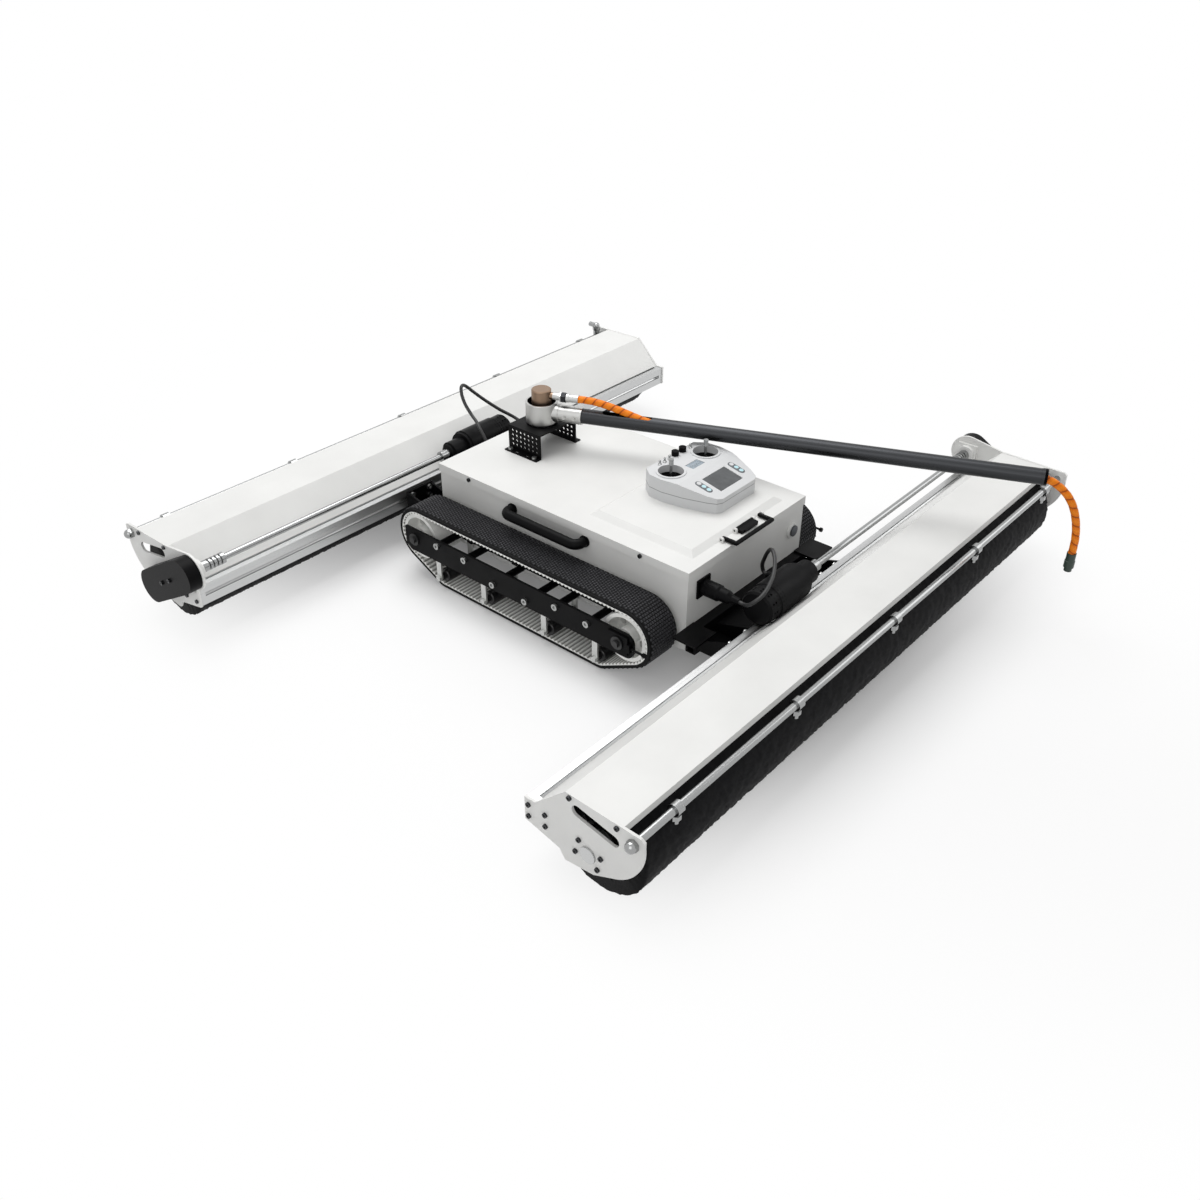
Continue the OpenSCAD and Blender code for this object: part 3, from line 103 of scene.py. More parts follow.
def grained(tree, shader, scale, strength, depth, detail=2.0):
    """Relief of soft grains, scale of them in a metre and depth high, on the shader's normal.
    Grains under a millimetre don't show, so they are drawn at 0.9 to 2.5 mm. Returns the node
    with the object's coordinates."""
    place = add(tree, "ShaderNodeTexCoord")
    grain = add(tree, "ShaderNodeTexNoise", {"Vector": place.outputs["Object"], "Scale": scale,
                                             "Detail": detail})
    bump = add(tree, "ShaderNodeBump", {"Height": grain.outputs["Fac"], "Strength": strength,
                                        "Distance": depth})
    tree.links.new(bump.outputs["Normal"], shader.inputs["Normal"])
    return place


def skin(name, points, material, body, closed=(False, False), caps=False, smooth=True, uv=None):
    """A surface through a grid of points: quads between neighbouring rows and columns, closed
    round the first and the second direction where asked, with each end row capped if asked."""
    p = np.asarray(points, dtype=float)
    n, m = p.shape[:2]
    i = np.arange(n if closed[0] else n - 1)
    j = np.arange(m if closed[1] else m - 1)
    a, b = np.meshgrid(i, j, indexing="ij")
    a, b = a.ravel(), b.ravel()
    c, d = (a + 1) % n, (b + 1) % m
    quads = np.stack([a * m + b, c * m + b, c * m + d, a * m + d], axis=1)
    faces = quads.tolist()
    if caps:
        faces += [list(range(m - 1, -1, -1)), list(range((n - 1) * m, n * m))]
    return shell(name, p.reshape(-1, 3), faces, material, body, smooth, uv)


def shell(name, corners, faces, material, body, smooth=True, uv=None):
    """A mesh object from corners and faces, in one material, riding on one body. With uv, the
    flat coordinates of each corner go to its faces."""
    mesh = bpy.data.meshes.new(name)
    mesh.from_pydata(np.asarray(corners).tolist(), [], faces)
    mesh.validate()
    if smooth:
        mesh.shade_smooth()
    if uv is not None:
        layer = mesh.uv_layers.new(name="lay")
        loops = np.zeros(len(mesh.loops), dtype=np.int32)
        mesh.loops.foreach_get("vertex_index", loops)
        layer.data.foreach_set("uv", np.asarray(uv, dtype=np.float32)[loops].ravel())
    mesh.materials.append(material)
    piece = bpy.data.objects.new(name, mesh)
    bpy.context.scene.collection.objects.link(piece)
    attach(piece, body)
    return piece


def dress(material, *nodes):
    """Gives CAD nodes a material in every slot."""
    for name in nodes:
        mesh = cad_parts[name].data
        mesh.materials.clear()
        mesh.materials.append(material)


def eased(points, steps):
    """A smooth run through the points: each point of a stretch is a cubic in the way between
    two neighbours, with slopes from the points on either side."""
    p = np.asarray(points, dtype=float)
    q = np.vstack([2 * p[0] - p[1], p, 2 * p[-1] - p[-2]])
    t = np.arange(steps)[None, :, None] / steps
    a, b, c, d = (q[k:k + len(p) - 1][:, None, :] for k in range(4))
    run = 0.5 * (2 * b + (c - a) * t + (2 * a - 5 * b + 4 * c - d) * t ** 2
                 + (3 * b - a - 3 * c + d) * t ** 3)
    return np.vstack([run.reshape(-1, 3), p[-1:]])


def tube(path, radius, sides):
    """Rings round a path: each ring lies square to the path, and its radius may vary with the
    ring and the angle. Returns the grid of points, the way along it and the angles."""
    p = np.asarray(path, dtype=float)
    d = np.gradient(p, axis=0)
    d /= np.linalg.norm(d, axis=1)[:, None]
    n = np.zeros_like(d)
    v = np.array([0.35, 0.2, 0.9])
    for k in range(len(p)):
        v = v - d[k] * (v @ d[k])
        v /= np.linalg.norm(v)
        n[k] = v
    b = np.cross(d, n)
    s = np.concatenate([[0], np.cumsum(np.linalg.norm(np.diff(p, axis=0), axis=1))])
    a = np.arange(sides) * 2 * np.pi / sides
    r = radius(s[:, None], a[None, :]) if callable(radius) else radius * np.ones((len(p), sides))
    ring = n[:, None] * np.cos(a)[None, :, None] + b[:, None] * np.sin(a)[None, :, None]
    return p[:, None] + r[:, :, None] * ring, s, a


arm_turn = math.radians(-66.2)
swivel = np.array([0.014, 0.221 + MID])


def along_arm(reach, height, side=0.0):
    """A point at a reach from the swivel, sideways from the arm, at a height, all in mm."""
    c, s = math.cos(arm_turn), math.sin(arm_turn)
    reach, side = np.asarray(reach) * MM, np.asarray(side) * MM
    x = swivel[0] + reach * c - side * s
    y = swivel[1] + reach * s + side * c
    return np.stack(np.broadcast_arrays(x, y, np.asarray(height) * MM), axis=-1)


hose_route = np.array([
    [86, 364], [98, 364], [114, 363.5], [134, 361], [156, 356.5], [180, 350],
    [204, 342.5], [228, 335.5], [254, 329.5], [284, 326.5], [320, 326], [440, 326],
    [560, 326], [680, 326], [800, 326], [920, 326], [1020, 326], [1048, 325.5],
    [1070, 320], [1090, 309], [1108, 293], [1122, 273], [1132, 250], [1139, 225],
    [1143, 200], [1144, 180], [1144, 165]])
hose_path = eased(along_arm(hose_route[:, 0], hose_route[:, 1]), 22)

# Spiral guard of extruded polyurethane, satin orange, its lap edges darkened with painted shade in
# the grooves between laps.
guard, tree, shader = surface("polyurethane_spiral_guard", "#ee8014", 0.0, 0.45, 0.2)
place = grained(tree, shader, 900.0, 0.15, 0.0002)
uv = add(tree, "ShaderNodeSeparateXYZ", {"Vector": place.outputs["UV"]})
lap = add(tree, "ShaderNodeMath", {0: uv.outputs["X"], 1: 1.0}, operation="FRACT")
edge = add(tree, "ShaderNodeValToRGB", {"Fac": lap.outputs[0]})
stops(edge, (0.0, "#96480a"), (0.14, "#e6740e"), (0.5, "#f28a1c"), (0.88, "#ea7a10"),
      (1.0, "#8a3a0b"))
# Painted shade: the ramp darkens the colour at each lap edge, where the groove lies
tree.links.new(edge.outputs["Color"], shader.inputs["Base Color"])

# Laps 21 mm apart; the band and its groove in mm, the groove's width as a share of a lap
hose_pitch, hose_sides = 21.0 * MM, 20
lap_r, lap_rise, groove_depth, groove_width = 7.75, 0.2, 0.7, 0.05


def guard_radius(s, a):
    """Outer radius of the guard: a flat band that rises over one turn of the spiral and drops
    in a groove where the next lap starts."""
    f = np.mod(s / hose_pitch + a / (2 * np.pi), 1.0)
    groove = np.exp(-((np.minimum(f, 1 - f)) / groove_width) ** 2)
    return (lap_r - groove_depth * groove + lap_rise * np.sin(np.pi * f)) * MM


hose_steps = eased(hose_path, 2)
grid, s, a = tube(hose_steps, guard_radius, hose_sides)
turn = s[:, None] / hose_pitch + a[None, :] / (2 * np.pi)
uv_grid = np.stack([turn, np.broadcast_to(a / (2 * np.pi), turn.shape)], axis=-1).reshape(-1, 2)
hose = skin("water_hose", grid, guard, "hose_arm", (False, True), True)
# Unwrapped: U counts the laps, V goes once round, and a face that closes a ring ends one lap
# further on
mesh = hose.data
layer = mesh.uv_layers.new(name="lay")
loops = np.zeros(len(mesh.loops), dtype=np.int32)
mesh.loops.foreach_get("vertex_index", loops)
totals = np.zeros(len(mesh.polygons), dtype=np.int32)
mesh.polygons.foreach_get("loop_total", totals)
flat = uv_grid[loops]
face = np.repeat(np.arange(len(totals)), totals)
closing = face[loops % hose_sides == hose_sides - 1]
last = (loops % hose_sides == 0) & np.isin(face, closing)
flat[last, 0] += 1.0
layer.data.foreach_set("uv", flat.astype(np.float32).ravel())
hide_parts("supply_hose")


# Motor cables
# Round black rubber cables from the chassis plugs to the glands on the two brush motors. The front
# one arches over its motor, the rear one stands up in a high loop.
front_route = [
    [-150, -438, 190], [-151, -448, 190], [-154, -460, 195], [-152, -472, 206],
    [-140, -478, 214], [-122, -477, 219], [-104, -472, 222], [-84, -465, 226],
    [-66, -456, 232], [-51, -446, 240], [-40, -436, 245], [-31, -426, 245],
    [-24, -416, 238], [-18, -407, 224], [-13, -399, 206], [-10, -394, 190],
    [-8, -395, 177], [-8, -400, 171.5], [-8, -406.5, 170.8]]
rear_route = [
    [150, 416, 190], [150, 428, 190], [146, 442, 196], [134, 453, 207],
    [118, 463, 220], [102, 476, 236], [86, 489, 253], [70, 500, 271],
    [56, 507, 287], [44, 508, 295], [34, 504, 292], [28, 496, 278],
    [26, 485, 260], [25, 471, 246], [23, 457, 236], [18, 440, 230],
    [11, 423, 221], [8, 407, 206], [7, 396, 190], [8, 395, 177],
    [8, 400, 171.5], [8, 406.5, 170.8]]

# Extruded rubber sheath, matt black with the soft orange peel that the die leaves
sheath, tree, shader = surface("extruded_rubber_sheath", "#0f0f10", 0.0, 0.48)
grained(tree, shader, 700.0, 0.2, 0.0002)
sheath_r, sheath_sides = 3.95 * MM, 14
for name, node_name, route in (("front_cable", "front_motor_cable", front_route),
                               ("rear_cable", "rear_motor_cable", rear_route)):
    run = eased(np.array(route) * MM + [0, MID, 0], 6)
    cable = skin(name, tube(run, sheath_r, sheath_sides)[0], sheath, "chassis", (False, True), True)
    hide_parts(node_name)


# Chassis and lid
# A folded sheet-steel box with a turned-down lid and a pressed panel on it, and on each head a bent
# hood between two laser-cut end plates, all powder coated white. The coat's peel is drawn 2.4 mm
# wide, and its white drifts a little over 14 cm.
powder, tree, shader = surface("white_powder_coat", "#dededc", 0.0, 0.42)
place = grained(tree, shader, 420.0, 0.12, 0.0004, 3.0)
cloud = add(tree, "ShaderNodeTexNoise", {"Vector": place.outputs["Object"], "Scale": 7.0,
                                         "Detail": 4.0})
tint = add(tree, "ShaderNodeValToRGB", {"Fac": cloud.outputs["Fac"]})
stops(tint, (0.3, "#d9d9d7"), (0.7, "#e1e1df"))
tree.links.new(tint.outputs["Color"], shader.inputs["Base Color"])
dress(powder, "chassis_shell", "chassis_lid", "front_hood", "rear_hood", "front_end_plates",
      "rear_end_plates")


# Frames, arms and bracket
# Laser-cut steel plates with a black satin powder coat: the arms that carry the heads, the pierced
# bracket under the swivel and the bars of the track frames. The hangers under the bars are zinc.
def worn(tree, shader, place, scale, low, high, span=(0.0, 1.0), detail=2.0):
    """Roughness that drifts from low to high over patches, scale of them in a metre, at their
    real size. The span is the part of the noise that the drift covers."""
    patches = add(tree, "ShaderNodeTexNoise", {"Vector": place.outputs["Object"],
                                               "Scale": scale, "Detail": detail})
    rough = add(tree, "ShaderNodeMapRange", {"Value": patches.outputs["Fac"],
                                             "From Min": span[0], "From Max": span[1],
                                             "To Min": low, "To Max": high})
    tree.links.new(rough.outputs["Result"], shader.inputs["Roughness"])


def coated(name, code):
    """A black powder coat: peel 1.7 mm wide in the relief, dust in patches of 45 mm in the
    roughness. Returns the material, its tree, its shader and the object's coordinates."""
    made, tree, shader = surface(name, code, 0.0, 0.38, 0.07)
    place = grained(tree, shader, 600.0, 0.25, 0.0004, 3.0)
    worn(tree, shader, place, 22.0, 0.3, 0.48, (0.35, 0.65), 6.0)
    return made, tree, shader, place


def two_tone(tree, shader, mask, base, other):
    """Colours the shader with the base, and with the other where the mask is one."""
    shade = add(tree, "ShaderNodeMix", {0: mask.outputs[0], 6: paint(base), 7: paint(other)},
                data_type="RGBA")
    tree.links.new(shade.outputs[2], shader.inputs["Base Color"])


black_coat = coated("black_powder_coat", "#070708")[0]
dress(black_coat, "brush_arms", "swivel_bracket")

# Side frames: coated bars, with the hangers below them left in bright zinc
hanger_top = 76.5 * MM
frame_coat, tree, shader, place = coated("coated_bars_and_zinc_hangers", "#070708")
at = add(tree, "ShaderNodeSeparateXYZ", {"Vector": place.outputs["Object"]})
low = add(tree, "ShaderNodeMath", {0: at.outputs["Z"], 1: hanger_top}, operation="LESS_THAN")
two_tone(tree, shader, low, "#070708", "#c9cac8")
tree.links.new(low.outputs[0], shader.inputs["Metallic"])
dress(frame_coat, "track_frames")

# Motors: rows of vent holes pierced round the barrel, near its closed end, drawn as near-black dots
# of painted shade in place of the dark inside of each hole. A hole fills 0.3 of its cell, which is
# one step of the turn wide and one row long.
motor_out, motor_z = 460 * MM, 170.8 * MM
vent_turn, vent_row, vent_share = 0.22, 9 * MM, 0.3
vents_mid, vents_half = 92 * MM, 16 * MM
motor_coat, tree, shader, place = coated("coated_motor_barrel", "#121213")
at = add(tree, "ShaderNodeSeparateXYZ", {"Vector": place.outputs["Object"]})
out = add(tree, "ShaderNodeMath", {0: at.outputs["Y"], 1: MID}, operation="SUBTRACT")
out = add(tree, "ShaderNodeMath", {0: out.outputs[0]}, operation="ABSOLUTE")
out = add(tree, "ShaderNodeMath", {0: out.outputs[0], 1: motor_out}, operation="SUBTRACT")
up = add(tree, "ShaderNodeMath", {0: at.outputs["Z"], 1: motor_z}, operation="SUBTRACT")
turn = add(tree, "ShaderNodeMath", {0: out.outputs[0], 1: up.outputs[0]}, operation="ARCTAN2")
cell = add(tree, "ShaderNodeMath", {0: turn.outputs[0], 1: vent_turn}, operation="DIVIDE")
cell = add(tree, "ShaderNodeMath", {0: cell.outputs[0]}, operation="FRACT")
cell = add(tree, "ShaderNodeMath", {0: cell.outputs[0], 1: 0.5}, operation="SUBTRACT")
row = add(tree, "ShaderNodeMath", {0: at.outputs["X"]}, operation="ABSOLUTE")
near = add(tree, "ShaderNodeMath", {0: row.outputs[0], 1: vents_mid, 2: vents_half},
           operation="COMPARE")
row = add(tree, "ShaderNodeMath", {0: row.outputs[0], 1: vent_row}, operation="DIVIDE")
row = add(tree, "ShaderNodeMath", {0: row.outputs[0]}, operation="FRACT")
row = add(tree, "ShaderNodeMath", {0: row.outputs[0], 1: 0.5}, operation="SUBTRACT")
dot = add(tree, "ShaderNodeCombineXYZ", {"X": cell.outputs[0], "Y": row.outputs[0]})
dot = add(tree, "ShaderNodeVectorMath", {0: dot.outputs[0]}, operation="LENGTH")
dot = add(tree, "ShaderNodeMath", {0: dot.outputs["Value"], 1: vent_share},
          operation="LESS_THAN")
dot = add(tree, "ShaderNodeMath", {0: dot.outputs[0], 1: near.outputs[0]}, operation="MULTIPLY")
# Painted shade: the vent dots are near black in place of the shade inside the holes
two_tone(tree, shader, dot, "#101011", "#010101")
dress(motor_coat, "brush_motors")


# Moulded black parts
# Glass-filled nylon and rubber mouldings: grips, plugs, sockets, belt covers, latch and knobs. The
# spark-eroded mould leaves pits, drawn 1.1 mm wide, that break the gloss.
moulded, tree, shader = surface("moulded_black_nylon", "#070708", 0.0, 0.42, 0.07)
place = add(tree, "ShaderNodeTexCoord")
spark = add(tree, "ShaderNodeTexVoronoi", {"Vector": place.outputs["Object"], "Scale": 900.0})
bump = add(tree, "ShaderNodeBump", {"Height": spark.outputs["Distance"], "Strength": 0.2,
                                    "Distance": 0.0003})
tree.links.new(bump.outputs["Normal"], shader.inputs["Normal"])
dress(moulded, "side_handles", "power_sockets", "motor_plugs", "belt_covers", "lid_latch",
      "lid_handle", "left_stick_cradle", "right_stick_cradle", "left_knob", "right_knob")


# Power button
# A press button of plated steel, turned in one piece and held in the front wall by its bezel.
# Thumbs have dulled the plating in patches of 2.5 mm.
chrome, tree, shader = surface("dull_plated_steel", "#55585c", 1.0, 0.3)
place = add(tree, "ShaderNodeTexCoord")
worn(tree, shader, place, 400.0, 0.22, 0.4)
dress(chrome, "power_button")


# Beams
# T-slot aluminium extrusions, clear anodised, cut to length and screwed to the end plates, and the
# tubes that carry the bristles. The die leaves fine draw lines along them, 1.1 mm apart and 330 mm
# long here so that they show.
anodised, tree, shader = surface("clear_anodised_aluminium", "#c3c4c4", 1.0, 0.34)
place = add(tree, "ShaderNodeTexCoord")
stretch = add(tree, "ShaderNodeMapping", {"Vector": place.outputs["Object"],
                                          "Scale": (3.0, 900.0, 900.0)})
lines = add(tree, "ShaderNodeTexNoise", {"Vector": stretch.outputs["Vector"], "Scale": 1.0,
                                         "Detail": 2.0})
rough = add(tree, "ShaderNodeMapRange", {"Value": lines.outputs["Fac"], "From Min": 0.3,
                                         "From Max": 0.7, "To Min": 0.26, "To Max": 0.42})
tree.links.new(rough.outputs["Result"], shader.inputs["Roughness"])
bump = add(tree, "ShaderNodeBump", {"Height": lines.outputs["Fac"], "Strength": 0.12,
                                    "Distance": 0.0002})
tree.links.new(bump.outputs["Normal"], shader.inputs["Normal"])
dress(anodised, "brush_beams", "front_brush_core", "rear_brush_core", "motor_controller")


# Bright turned steel
# Stainless shafts, spray tubes, nozzles, posts and stick levers, turned and polished. Handling has
# left uneven gloss in patches of 3 mm. They run in bearings or are screwed into the plates.
steel, tree, shader = surface("polished_stainless_steel", "#9c9d9d", 1.0, 0.2)
place = add(tree, "ShaderNodeTexCoord")
worn(tree, shader, place, 300.0, 0.14, 0.28, (0.3, 0.7))
dress(steel, "front_drive_shaft", "rear_drive_shaft", "spray_bars", "spray_nozzles",
      "swivel_post", "track_motors", "left_stick", "right_stick")


def along_pole(tree, place):
    """Nodes that turn the object's coordinates into the arm's: X runs out along the pole from
    the swivel's axis, Z is the height."""
    moved = add(tree, "ShaderNodeMapping", {"Vector": place.outputs["Object"],
                                            "Location": (-swivel[0], -swivel[1], 0.0)})
    turned = add(tree, "ShaderNodeMapping", {"Vector": moved.outputs["Vector"],
                                             "Rotation": (0.0, 0.0, -arm_turn)})
    return add(tree, "ShaderNodeSeparateXYZ", {"Vector": turned.outputs["Vector"]})


# Screws and nuts: zinc plated, dulled in spots of 3 mm, but blackened on the end plates and on the
# lid's rim
plates_out, rim_out, rim_half = 749.5 * MM, 202.5 * MM, 3.5 * MM
zinc, tree, shader = surface("zinc_and_blackened_screws", "#a9aaa9", 1.0, 0.25)
place = add(tree, "ShaderNodeTexCoord")
at = add(tree, "ShaderNodeSeparateXYZ", {"Vector": place.outputs["Object"]})
out = add(tree, "ShaderNodeMath", {0: at.outputs["X"]}, operation="ABSOLUTE")
rim = add(tree, "ShaderNodeMath", {0: out.outputs[0], 1: rim_out, 2: rim_half},
          operation="COMPARE")
out = add(tree, "ShaderNodeMath", {0: out.outputs[0], 1: plates_out}, operation="GREATER_THAN")
out = add(tree, "ShaderNodeMath", {0: out.outputs[0], 1: rim.outputs[0]}, operation="MAXIMUM")
two_tone(tree, shader, out, "#a9aaa9", "#3c3d3f")
worn(tree, shader, place, 300.0, 0.2, 0.38)
dress(zinc, "fasteners")

# Swivel cup: turned aluminium, bright outside with finger marks of 6 mm; the pocket under the cap
# is painted black inside as painted shade
pocket_r, pocket_floor = 31.8 * MM, 335 * MM
cup, tree, shader = surface("turned_aluminium", "#b9b9b7", 1.0, 0.3)
place = add(tree, "ShaderNodeTexCoord")
at = along_pole(tree, place)
flat = add(tree, "ShaderNodeCombineXYZ", {"X": at.outputs["X"], "Y": at.outputs["Y"]})
far = add(tree, "ShaderNodeVectorMath", {0: flat.outputs[0]}, operation="LENGTH")
inside = add(tree, "ShaderNodeMath", {0: far.outputs["Value"], 1: pocket_r},
             operation="LESS_THAN")
above = add(tree, "ShaderNodeMath", {0: at.outputs["Z"], 1: pocket_floor},
            operation="GREATER_THAN")
pocket_shade = add(tree, "ShaderNodeMath", {0: inside.outputs[0], 1: above.outputs[0]},
             operation="MULTIPLY")
# Painted shade: black inside the pocket's walls and floor
two_tone(tree, shader, pocket_shade, "#b9b9b7", "#070708")
worn(tree, shader, place, 160.0, 0.24, 0.42)
dress(cup, "swivel_cup")

# Road wheels: black polyurethane tyres, scuffed in spots of 3 mm, their axle ends and nuts zinc
# plated
tyre_out = 300.5 * MM
wheel, tree, shader = surface("black_polyurethane_tyre", "#0c0c0d", 0.0, 0.35)
place = add(tree, "ShaderNodeTexCoord")
at = add(tree, "ShaderNodeSeparateXYZ", {"Vector": place.outputs["Object"]})
out = add(tree, "ShaderNodeMath", {0: at.outputs["X"]}, operation="ABSOLUTE")
out = add(tree, "ShaderNodeMath", {0: out.outputs[0], 1: tyre_out}, operation="GREATER_THAN")
two_tone(tree, shader, out, "#0c0c0d", "#c9cac8")
tree.links.new(out.outputs[0], shader.inputs["Metallic"])
worn(tree, shader, place, 300.0, 0.25, 0.5)
dress(wheel, *[f"{side}_road_wheel_{i}" for side in ("left", "right") for i in (1, 2, 3, 4)])

# Turned bronze cap, browned by water in spots of 4 mm; the silver collar, the black nut and the
# plated fitting each start at a reach from the swivel, in metres
bronze, tree, shader = surface("turned_bronze", "#8f7a66", 1.0, 0.4)
place = add(tree, "ShaderNodeTexCoord")
reach = along_pole(tree, place)
metal = add(tree, "ShaderNodeValToRGB", {"Fac": reach.outputs["X"]})
metal.color_ramp.interpolation = "CONSTANT"
stops(metal, (0.0, "#8a7462"), (0.024, "#b4b5b4"), (0.0435, "#2d2e30"), (0.0575, "#b9bab9"))
tree.links.new(metal.outputs["Color"], shader.inputs["Base Color"])
worn(tree, shader, place, 250.0, 0.28, 0.5)
dress(bronze, "swivel_union")


# Pole
# A drawn tube with a dark anodised coat, slotted on top and clamped in the cup's socket, with a
# black plastic ring on its tip. The draw lines are 2 mm apart, coarser than real, and 250 mm long.
tip_reach = 1057.5 * MM
dark, tree, shader = surface("dark_anodised_tube", "#3a3b3d", 1.0, 0.38)
place = add(tree, "ShaderNodeTexCoord")
at = along_pole(tree, place)
run = add(tree, "ShaderNodeCombineXYZ", {"X": at.outputs["X"], "Y": at.outputs["Y"],
                                         "Z": at.outputs["Z"]})
drawn = add(tree, "ShaderNodeVectorMath", {0: run.outputs[0], 1: (4.0, 500.0, 500.0)},
            operation="MULTIPLY")
lines = add(tree, "ShaderNodeTexNoise", {"Vector": drawn.outputs[0], "Scale": 1.0, "Detail": 3.0})
tip = add(tree, "ShaderNodeMath", {0: at.outputs["X"], 1: tip_reach}, operation="GREATER_THAN")
two_tone(tree, shader, tip, "#3a3b3d", "#080809")
rough = add(tree, "ShaderNodeMapRange", {"Value": lines.outputs["Fac"], "From Min": 0.3,
                                         "From Max": 0.7, "To Min": 0.3, "To Max": 0.46})
tree.links.new(rough.outputs["Result"], shader.inputs["Roughness"])
dress(dark, "arm_pole")


# Pulleys and plastics
# Turned white acetal pulleys on blackened steel axles, and a moulded dark green coupling that is
# clamped on the end of the hose.
pulley_out = 300 * MM
acetal, tree, shader = surface("turned_white_acetal", "#f2f2ef", 0.0, 0.4)
place = grained(tree, shader, 500.0, 0.1, 0.0003)
at = add(tree, "ShaderNodeSeparateXYZ", {"Vector": place.outputs["Object"]})
out = add(tree, "ShaderNodeMath", {0: at.outputs["X"]}, operation="ABSOLUTE")
out = add(tree, "ShaderNodeMath", {0: out.outputs[0], 1: pulley_out}, operation="GREATER_THAN")
two_tone(tree, shader, out, "#f2f2ef", "#161617")
dress(acetal, "left_drive_pulley", "right_drive_pulley", "left_idler_pulley",
      "right_idler_pulley")

# Hose connector: moulded polypropylene, dark green with a fine moulded grain
green, tree, shader = surface("moulded_green_polypropylene", "#24352d", 0.0, 0.35)
grained(tree, shader, 800.0, 0.15, 0.0003)
dress(green, "hose_connector")


# Hand controller
# A pale ABS housing in two halves, with a dark screen, a grey display, two rows of buttons set in
# dark strips, black domes under the sticks, and plated toggle levers. It lies on the lid. Its
# halves meet in a groove at split_z, and its wells under the sticks are black below well_top.
split_z, groove_from, groove_to = 273 * MM, 0.4 * MM, 0.9 * MM
wells_x, wells_apart, wells_y = 70 * MM, 59 * MM, MID - 144 * MM
well_r, well_top = 27.5 * MM, 287 * MM
housing, tree, shader = surface("moulded_pale_abs", "#cfd0d1", 0.0, 0.48)
place = grained(tree, shader, 1100.0, 0.15, 0.0003)
split = add(tree, "ShaderNodeSeparateXYZ", {"Vector": place.outputs["Object"]})
from_split = add(tree, "ShaderNodeMath", {0: split.outputs["Z"], 1: split_z}, operation="SUBTRACT")
from_split = add(tree, "ShaderNodeMath", {0: from_split.outputs[0]}, operation="ABSOLUTE")
groove = add(tree, "ShaderNodeMapRange", {"Value": from_split.outputs[0],
                                          "From Min": groove_from, "From Max": groove_to})
shade = add(tree, "ShaderNodeMix", {0: groove.outputs["Result"], 6: paint("#77797b"),
                                    7: paint("#cfd0d1")}, data_type="RGBA")
wells = add(tree, "ShaderNodeMath", {0: split.outputs["X"], 1: wells_x}, operation="SUBTRACT")
wells = add(tree, "ShaderNodeMath", {0: wells.outputs[0]}, operation="ABSOLUTE")
wells = add(tree, "ShaderNodeMath", {0: wells.outputs[0], 1: wells_apart},
            operation="SUBTRACT")
level = add(tree, "ShaderNodeMath", {0: split.outputs["Y"], 1: wells_y}, operation="SUBTRACT")
flat = add(tree, "ShaderNodeCombineXYZ", {"X": wells.outputs[0], "Y": level.outputs[0]})
far = add(tree, "ShaderNodeVectorMath", {0: flat.outputs[0]}, operation="LENGTH")
inside = add(tree, "ShaderNodeMath", {0: far.outputs["Value"], 1: well_r},
             operation="LESS_THAN")
deep = add(tree, "ShaderNodeMath", {0: split.outputs["Z"], 1: well_top}, operation="LESS_THAN")
lined = add(tree, "ShaderNodeMath", {0: inside.outputs[0], 1: deep.outputs[0]},
            operation="MULTIPLY")
shade = add(tree, "ShaderNodeMix", {0: lined.outputs[0], 6: shade.outputs[2],
                                    7: paint("#0b0b0c")}, data_type="RGBA")
tree.links.new(shade.outputs[2], shader.inputs["Base Color"])
dress(housing, "remote_body")

# Middle of its underside, its height, and where and how steeply its front slopes
remote = np.array([70.0, -180.0, 251.0])
remote_h, slope_y, slope = 50.0, -8.0, math.atan2(18.0, 86.0)


def on_top(x, y, h):
    """A place on the controller's flat top, h above it, in metres."""
    p = np.stack(np.broadcast_arrays(remote[0] + x, remote[1] + y, remote[2] + remote_h + h), -1)
    return p * MM + [0, MID, 0]


def on_slope(x, d, h):
    """A place on the controller's sloping front, d down the slope and h above it, in metres."""
    y = slope_y - d * math.cos(slope) - h * math.sin(slope)
    return on_top(x, y, -d * math.sin(slope) + h * math.cos(slope))


def rounded(w, l, r, steps=6):
    """Outline of a rectangle w by l with corners of radius r, anticlockwise from its middle."""
    a = np.concatenate([np.linspace(k, k + 90, steps) for k in (0, 90, 180, 270)])
    sx = np.repeat([1, -1, -1, 1], steps) * (w / 2 - r)
    sy = np.repeat([1, 1, -1, -1], steps) * (l / 2 - r)
    return np.stack([sx + r * np.cos(np.radians(a)), sy + r * np.sin(np.radians(a))], axis=1)


def slab(name, outline, middle, low, high, where, material, body, edge=0.3):
    """A flat plate with an eased upper edge: four rings of its outline, each at a height of the
    frame that the function where gives."""
    rings = []
    for h, cut in ((low, 0.0), (high - edge, 0.0), (high - edge * 0.3, edge * 0.3), (high, edge)):
        r = np.linalg.norm(outline, axis=1, keepdims=True)
        o = outline * (1 - cut / r) + middle
        rings.append(where(o[:, 0], o[:, 1], np.full(len(o), h)))
    grid = np.array(rings)
    a, b = grid[0, 1] - grid[0, 0], grid[0, 2] - grid[0, 1]
    up = grid[-1, 0] - grid[0, 0]
    if np.dot(np.cross(a, b), up) > 0:
        return skin(name, grid, material, body, (False, True), True, False)
    return skin(name, grid[:, ::-1], material, body, (False, True), True, False)


def lathe(name, profile, place, axis, steps, material, body, smooth=True):
    """A profile of (radius, distance) points turned about an axis through a place, in mm."""
    axis = np.array(axis, dtype=float)
    side = np.cross(axis, [0.31, 0.87, 0.38])
    side /= np.linalg.norm(side)
    other = np.cross(axis, side)
    a = np.linspace(0, 2 * np.pi, steps, endpoint=False)
    ring = np.cos(a)[:, None] * side + np.sin(a)[:, None] * other
    p = np.array(profile, dtype=float)
    grid = (np.array(place) + p[:, 1][:, None, None] * axis + p[:, 0][:, None, None] * ring[None])
    grid = grid * MM + [0, MID, 0]
    return skin(name, grid, material, body, (False, True), True, smooth)


